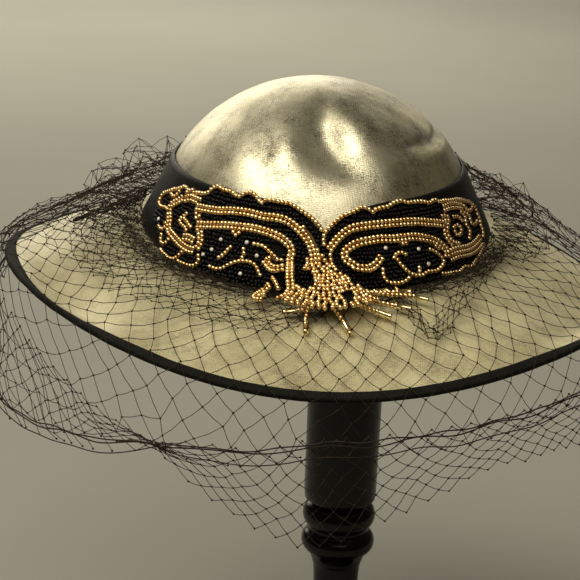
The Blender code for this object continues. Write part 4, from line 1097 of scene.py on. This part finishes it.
# %% Selvage and hem threads
def ring_thread(name, points, radius):
    """A closed round thread of five sides along a run of points."""
    way = unit(np.roll(points, -1, 0) - np.roll(points, 1, 0))
    side = unit(np.cross(way, np.array([0.05, 0.08, 1.0])))
    other = np.cross(way, side)
    a = np.arange(5) * 2 * np.pi / 5
    ring = points[:, None] + radius * (side[:, None] * np.cos(a)[:, None] + other[:, None] * np.sin(a)[:, None])
    made = as_mesh(name, ring.reshape(-1, 3), grid_faces(len(points), 5, loop=True), THREAD)
    return finish_piece(made, "net_thread", "net_veil")


around = np.linspace(-180, 180, 620, endpoint=False)
level = np.interp(around, SELVAGE[:, 0], SELVAGE[:, 1])
level = np.convolve(np.concatenate([level[-9:], level, level[:9]]), np.ones(19) / 19, "same")[9:-9]
level = level + 1.3 * soft_noise(np.radians(around) * 9, 0 * around, 3)
line = gathered(at_height(around, level))
line = line + from_axis(line) * 0.0010
for n, drop in enumerate((0.0, 0.0013)):
    wander = 0.0010 * soft_noise(np.radians(around) * 15, 0 * around, 5 + n)
    ring_thread(f"net_selvage_{n + 1}", line + UP * (wander - drop)[:, None], 0.00034)
hem_level = level - HEM_DROP
hem_line = at_height(around, hem_level)
hem_line[:, 2] = HAT_CENTRE[2] + (hem_level + 0.5 * soft_noise(np.radians(around) * 21, 0 * around, 8)) / 1000
ring_thread("net_hem", gathered(hem_line), 0.00028)
print("the selvage hangs", [round(float(level.min())), round(float(level.max()))], "mm from the head line")

# %% [markdown]
# Below the selvage the net hangs on in a point at the front, and at the far left a second layer hangs
# behind the first. Both are the same net, with knots at even heights between two lines.

# %% Hanging net at the front and the left
def hung_net(name, start, end, hem, across, count, seed, sway, inset):
    """Heights go evenly from the selvage, or the hem's own upper line, to the hem; waves push in and out."""
    row, column = np.meshgrid(np.arange(count), np.arange(across), indexing="ij")
    share = row / (count - 1)
    turn = start + (end - start) * (column + 0.5 * (row % 2)) / across
    turn = turn + 0.9 * soft_noise(np.radians(turn) * 16, share * 5, seed) * np.sin(np.pi * share)
    if hem.shape[1] > 2:
        top = np.interp(turn, hem[:, 0], hem[:, 2])
    else:
        top = np.interp(turn, SELVAGE[:, 0], SELVAGE[:, 1]) + 1.0
    low = np.interp(turn, hem[:, 0], hem[:, 1]) + 1.6 * soft_noise(np.radians(turn) * 18, 0 * turn, 5)
    level = top + (low - top) * share
    nodes = at_height(turn.ravel(), level.ravel())
    nodes[:, 2] = HAT_CENTRE[2] + level.ravel() / 1000
    push = sway * soft_noise(np.radians(turn) * 8, share * 3, seed - 14).ravel() + inset
    push = push * np.minimum(1, 0.15 + 2.5 * share.ravel())
    nodes = gathered(nodes + from_axis(nodes) * push[:, None], 0.80, 0.015)
    return thread_net(name, nodes, diamond_pairs(count, across, False), 0.00018, 0.00062)


LOWER_HEM = np.array((    # angle and height in millimetres
    (-25, -59), (-20, -68), (-16, -76), (-10, -86), (-3, -96), (4, -95), (10, -87), (18, -78),
    (28, -66), (40, -64), (50, -67), (62, -66), (76, -60), (90, -53), (104, -46)))
hung_net("net_lower_threads", -25, 104, LOWER_HEM, 38, 11, 31, 0.0030, -0.0022)
LEFT_FALL = np.array((    # angle, lower height and upper height in millimetres
    (-135, -26, -4), (-112, -42, -2), (-92, -60, -2), (-78, -66, -8), (-62, -68, -24), (-44, -66, -40),
    (-30, -60, -52), (-24, -57, -55)))
hung_net("net_left_threads", -132, -25, LEFT_FALL, 30, 9, 47, 0.0040, -0.0020)
print("the hem's lowest point is", int(LOWER_HEM[:, 1].min()), "mm from the head line")

# %% [markdown]
# Close to the crown the net is gathered: the same cloth is bunched into soft loops, so its cells are
# narrow and lie over one another. It is the same kind of net with more columns, laid along a loop that
# swells out from the band and returns beneath itself, and pushed about by slow waves.

# %% Ruffle
def ruffle(name, columns, count, seed, reach, swell, calm, rise):
    """Down the net the loop's distance out is a sine, its height a lower sine; waves crumple both."""
    row, column = np.meshgrid(np.arange(count), np.arange(columns), indexing="ij")
    turn = ((column + 0.5 * (row % 2)) * 360 / columns - 180).ravel()
    layer = (row / (count - 1)).ravel()
    t = np.radians(turn)
    at_band = veil_values(turn)[0]
    quiet = 1 - calm * np.exp(-(np.maximum(0, np.abs(turn) - 62) / 22) ** 2)
    slow = soft_noise(t * 9, layer * 2.2, seed)
    fast = soft_noise(t * 25, layer * 5.0, seed + 3)
    out = 0.0035 + (reach + 0.00060 * at_band) * np.sin(np.pi * layer * 0.96) ** 0.8 * (1 + 0.30 * slow) * quiet
    bell = np.where(turn < 0, 1.0, 0.42) * np.exp(-((np.abs(turn) - 112) / 34) ** 2)
    high = 0.0016 + (swell + 0.00060 * at_band) * np.sin(np.pi * (layer * 0.9 + 0.1)) * (0.8 + 0.4 * fast) * (
        1.25 - layer) * quiet * (1 + rise * bell)
    turned = turn + 3.2 * soft_noise(t * 14, layer * 3, seed + 6) + 1.4 * fast
    nodes = on_brim(turned, out, np.maximum(high, 0.0014))
    return thread_net(name, nodes, diamond_pairs(count, columns, True), *FINE_THREAD, sag=-0.06)


FINE_THREAD = 0.00016, 0.00052        # radius of a thread and of its knots
ruffle("net_ruffle_inner", 84, 9, 4, 0.015, 0.0060, 0.62, 0.5)
ruffle("net_ruffle_outer", 76, 11, 11, 0.030, 0.0044, 0.70, 1.2)
print("two ruffles lie by the band")

# %% [markdown]
# In five places a strip of the net is bunched or folded by hand: three at the left, where it is drawn
# in, one that stands up as a dark fold at the rear left, and one that lies in a V at the right. Each
# is drawn as a spine on the brim, and the net is spread to both sides of it and crumpled.

# %% Bunched and folded strips
BRIM_MM = 1.9             # millimetres to a degree of the brim, where the strips are drawn


def laid_net(name, spine, across, count, seed, rumple, lift=2.6):
    """A strip of net along a spine of angle, reach and width in mm, narrow at its ends, then crumpled."""
    row, column = np.meshgrid(np.arange(count), np.arange(across), indexing="ij")
    u, v = (row / (count - 1)).ravel(), ((column + 0.5 * (row % 2)) / (across - 0.5) - 0.5).ravel()
    path = smooth_run([(angle * BRIM_MM, reach, width) for angle, reach, width in spine])
    at = np.linspace(0, 1, len(path))
    way = unit(np.gradient(path[:, :2], axis=0))
    centre = np.stack([np.interp(u, at, path[:, k]) for k in range(3)], 1)
    aside = np.stack([-np.interp(u, at, way[:, 1]), np.interp(u, at, way[:, 0])], 1)
    spot = centre[:, :2] + aside * (v * centre[:, 2])[:, None]
    size = np.array([len(spine) * 3.0, across * 0.9])
    slow, fast = (soft_noise(u * size[0] * k, v * size[1] * k, seed + k) for k in (1, 3))
    spot = spot + rumple * np.stack([slow + 0.8 * fast, soft_noise(u * size[0] * 2, v * size[1], seed + 9)], 1)
    rise = (lift + 1.5 * (1 + fast) + 0.9 * slow) / 1000
    nodes = on_brim(spot[:, 0] / BRIM_MM, np.maximum(spot[:, 1], 1.0) / 1000, rise)
    return thread_net(name, nodes, diamond_pairs(count, across, False), *FINE_THREAD, sag=-0.05)


laid_net("net_left_gather", [(-104, 12, 6), (-88, 20, 26), (-70, 22, 34), (-52, 22, 34), (-38, 24, 34),
                             (-24, 25, 32), (-10, 26, 24), (2, 22, 6)], 8, 50, 9, 1.9, 2.2)
laid_net("net_left_fold", [(-98, 1, 4), (-91, 4, 11), (-85, 12, 11), (-81.5, 22, 9), (-79.4, 31, 5),
                           (-78, 36, 1)], 10, 24, 3, 0.9, 8.0)
laid_net("net_left_tuck", [(-122, 6, 6), (-106, 4, 9), (-92, 3, 9), (-80, 3, 7), (-70, 3, 3)],
         6, 26, 8, 1.6, 5.0)
laid_net("net_left_slack", [(-98, 30, 10), (-88, 40, 24), (-78, 38, 30), (-68, 32, 30), (-58, 24, 24),
                            (-48, 14, 10)], 5, 17, 14, 2.2, 3.6)
laid_net("net_right_fold", [(21, 6, 3), (23.2, 25.7, 8), (25, 43, 7), (32.2, 30.5, 9), (44, 18.9, 9),
                            (64.2, 5, 9), (80, 2, 3)], 4, 36, 6, 0.9)
print("five strips of net are laid on the brim")

# %% [markdown]
# The stand is turned wood under dark lacquer. A lathe is exactly a profile carried round an axis, so
# each part is its profile, rounded by a smooth curve, turned through a full circle.

# %% Lacquer
f = Finish("black_lacquer_wood", Roughness=0.20, Coat_Weight=0.10, Coat_Roughness=0.06, Specular_IOR_Level=0.18)
place = f.where()
grain = f.noise(f.stretched(place, (30, 30, 6)), 1.0, 4.0)
LACQUER = f.use(Base_Color=f.blend(grain, (0.0008, 0.0007, 0.0005), (0.0025, 0.0020, 0.0015)),
                Roughness=f.map(f.noise(place, 120, 4.0, 0.7), 0.12, 0.36),
                Normal=f.bump(f.noise(f.stretched(place, (90, 90, 14)), 1.0, 3.0), 0.10, 0.0008))


print("the stand's finish:", LACQUER.name)

# %% Turned parts
def lathe(name, profile, node, sides=96):
    """Each profile point is a radius and a height; the ring is that radius times cosine and sine."""
    profile = np.array(profile)
    turn = np.linspace(0, 2 * np.pi, sides, endpoint=False)[None]
    out, up = profile[:, :1], profile[:, 1:]
    ring = np.stack(np.broadcast_arrays(out * np.cos(turn), out * np.sin(turn), up), -1)
    ends = [[0, 0, profile[0, 1]], [0, 0, profile[-1, 1]]]
    faces = [grid_faces(len(profile), sides), end_fans(len(profile), sides)]
    made = as_mesh(name, np.concatenate([ring.reshape(-1, 3), ends]), faces, LACQUER)
    return finish_piece(made, "black_lacquer", node)


def arc(radius, height, size, low, high, steps=12):
    """Part of a circle in the profile, from one angle to another."""
    a = np.radians(np.linspace(low, high, steps))
    return list(zip(radius + size * np.cos(a), height + size * np.sin(a)))


print("a quarter circle has", len(arc(0, 0, 1, 0, 90)), "points")

# %% Foot, post and head
foot_profile = [(0.070, 0.0), (0.0765, 0.0)]
foot_profile += arc(0.0745, 0.0035, 0.0035, -80, 60, 8) + arc(0.0745, 0.0125, 0.0035, -60, 90, 8)
foot_profile += [(0.060, 0.0160), (0.036, 0.0164), (0.0315, 0.0172), (0.0300, 0.0182), (0.0285, 0.0190)]
lathe("stand_foot_turned", foot_profile, "stand_foot", 128)
stem = smooth_run([(0.0215, 0.0253), (0.0160, 0.0313), (0.0130, 0.0493), (0.0118, 0.095), (0.0122, 0.118),
                   (0.0136, 0.125)], 8)
post_profile = [(0.0225, 0.0193), (0.0240, 0.0200), (0.0240, 0.0235)] + [tuple(p) for p in stem]
post_profile += arc(0.0128, 0.13575, 0.0066, -70, 62) + arc(0.0112, 0.15075, 0.0080, -62, 70)
post_profile += [(0.0170, 0.1592), (0.0186, 0.1605), (0.0190, 0.165), (0.0194, 0.235), (0.0190, 0.330),
                 (0.0186, 0.334)]
lathe("stand_post_turned", post_profile, "stand_post")
HEAD_RADIUS = 0.060
HEAD_HEIGHT = 0.3708 - HEAD_RADIUS    # the middle of the round cap
edge = HEAD_HEIGHT + math.sqrt(HEAD_RADIUS ** 2 - 0.032 ** 2) - 0.003
head_profile = [(0.0195, 0.3343), (0.022, 0.3343), (0.031, edge - 0.010), (0.0337, edge - 0.003),
                (0.034, edge)]
head_profile += arc(0.0, HEAD_HEIGHT, HEAD_RADIUS, math.degrees(math.acos(0.0325 / HEAD_RADIUS)), 89.2, 14)
lathe("stand_head_turned", head_profile, "stand_head")
print("the stand's profiles have", len(foot_profile), len(post_profile), len(head_profile), "points")

# %% [markdown]
# The set is plain: a pale floor, so large that it fills the view, and soft light from the upper left
# with a weaker fill, as in a quiet room. The metal cloth shows mostly what it mirrors, so large lamps
# matter more here than strong ones.

# %% Floor
f = Finish("floor_paint", Roughness=0.85)
FLOOR = f.use(Base_Color=f.ramp(f.noise(f.where(), 1.6, 3.0), (0.3, (0.30, 0.283, 0.232)),
                                (0.7, (0.335, 0.316, 0.262))))
u, v = np.meshgrid(np.linspace(-24, 24, 17), np.linspace(-24, 24, 17))
floor = as_mesh("pale_floor", np.stack([u, v, -0.0005 + 0 * u], -1).reshape(-1, 3),
                grid_faces(17, 17, around=False), FLOOR)
print("floor of", len(floor.data.polygons), "faces")

# %% Light
world = bpy.data.worlds.new("room")
bpy.context.scene.world = world
world.use_nodes = True
air = world.node_tree.nodes["Background"].inputs
air["Color"].default_value, air["Strength"].default_value = (1.0, 0.88, 0.64, 1.0), 0.07


def stood(name, data, place, axes):
    """A new object at a place, with its own x, y and z along the three axes."""
    made = bpy.data.objects.new(name, data)
    bpy.context.scene.collection.objects.link(made)
    pose = Matrix([[*axis] for axis in axes]).transposed().to_4x4()
    pose.translation = place
    made.matrix_world = pose
    return made


def lamp(name, place, size, power, colour, aim=(-0.02, 0.0, 0.33)):
    """A soft oblong lamp at a place, turned to face the hat."""
    light = bpy.data.lights.new(name, "AREA")
    light.shape, light.energy, light.color = "RECTANGLE", power, colour
    light.size, light.size_y = size
    z = unit(np.array(place) - np.array(aim))
    x = unit(np.cross(UP, z))
    return stood(name, light, place, (x, np.cross(z, x), z))


lamp("key_lamp", (-0.80, -0.36, 1.70), (1.0, 1.0), 24.0, (1.0, 0.975, 0.90))
lamp("back_lamp", (-0.10, 2.3, 0.88), (2.7, 0.95), 7.0, (1.0, 0.93, 0.74))
lamp("left_lamp", (-0.75, 2.3, 1.0), (2.0, 1.2), 16, (1.0, 0.95, 0.80))
lamp("front_lamp", (0.10, -1.0, 1.60), (1.0, 1.0), 10.2, (1.0, 0.975, 0.90))
lamp("wall_lamp", (-1.6, 4.6, 2.4), (1.5, 1.5), 66, (1.0, 0.98, 0.89), aim=(-0.7, 4.1, 0.0)).data.spread = 1.52
print("five lamps, the strongest on the wall behind")

# %% [markdown]
# The camera stands where the photographer stood: a metre away, eighteen degrees above the hat, rolled
# by two and a half degrees. Its place is worked out so that the hat's centre falls on its own spot in
# a 580 by 580 picture.

# %% Camera
PICTURE, LENS_PIXELS, DISTANCE = 580, 1980.0, 1.0
HIT = 315.6, 221.8        # where the hat's centre falls in the picture, from its upper left corner
raised, roll = math.radians(18), math.radians(2.45)
backward = np.array([0.0, -math.cos(raised), math.sin(raised)])
right = unit(np.cross(-backward, UP))
upward = np.cross(right, -backward)
view_x = right * math.cos(roll) + upward * math.sin(roll)
view_y = -right * math.sin(roll) + upward * math.cos(roll)
aside, above = HIT[0] - PICTURE / 2, PICTURE / 2 - HIT[1]
stands = HAT_CENTRE + DISTANCE * (backward - view_x * aside / LENS_PIXELS - view_y * above / LENS_PIXELS)
lens = bpy.data.cameras.new("studio_camera")
lens.sensor_width, lens.lens = 36.0, 36.0 * LENS_PIXELS / PICTURE
camera = stood("studio_camera", lens, stands, (view_x, view_y, backward))
bpy.context.scene.camera = camera
bpy.context.scene.view_settings.view_transform = "Standard"
print("camera stands at", [round(float(v), 3) for v in stands])

# %% [markdown]
# Last, the scene is brought up to date. The scene dresses the solids and doesn't change them.

# %% Bring the scene up to date
bpy.context.view_layer.update()
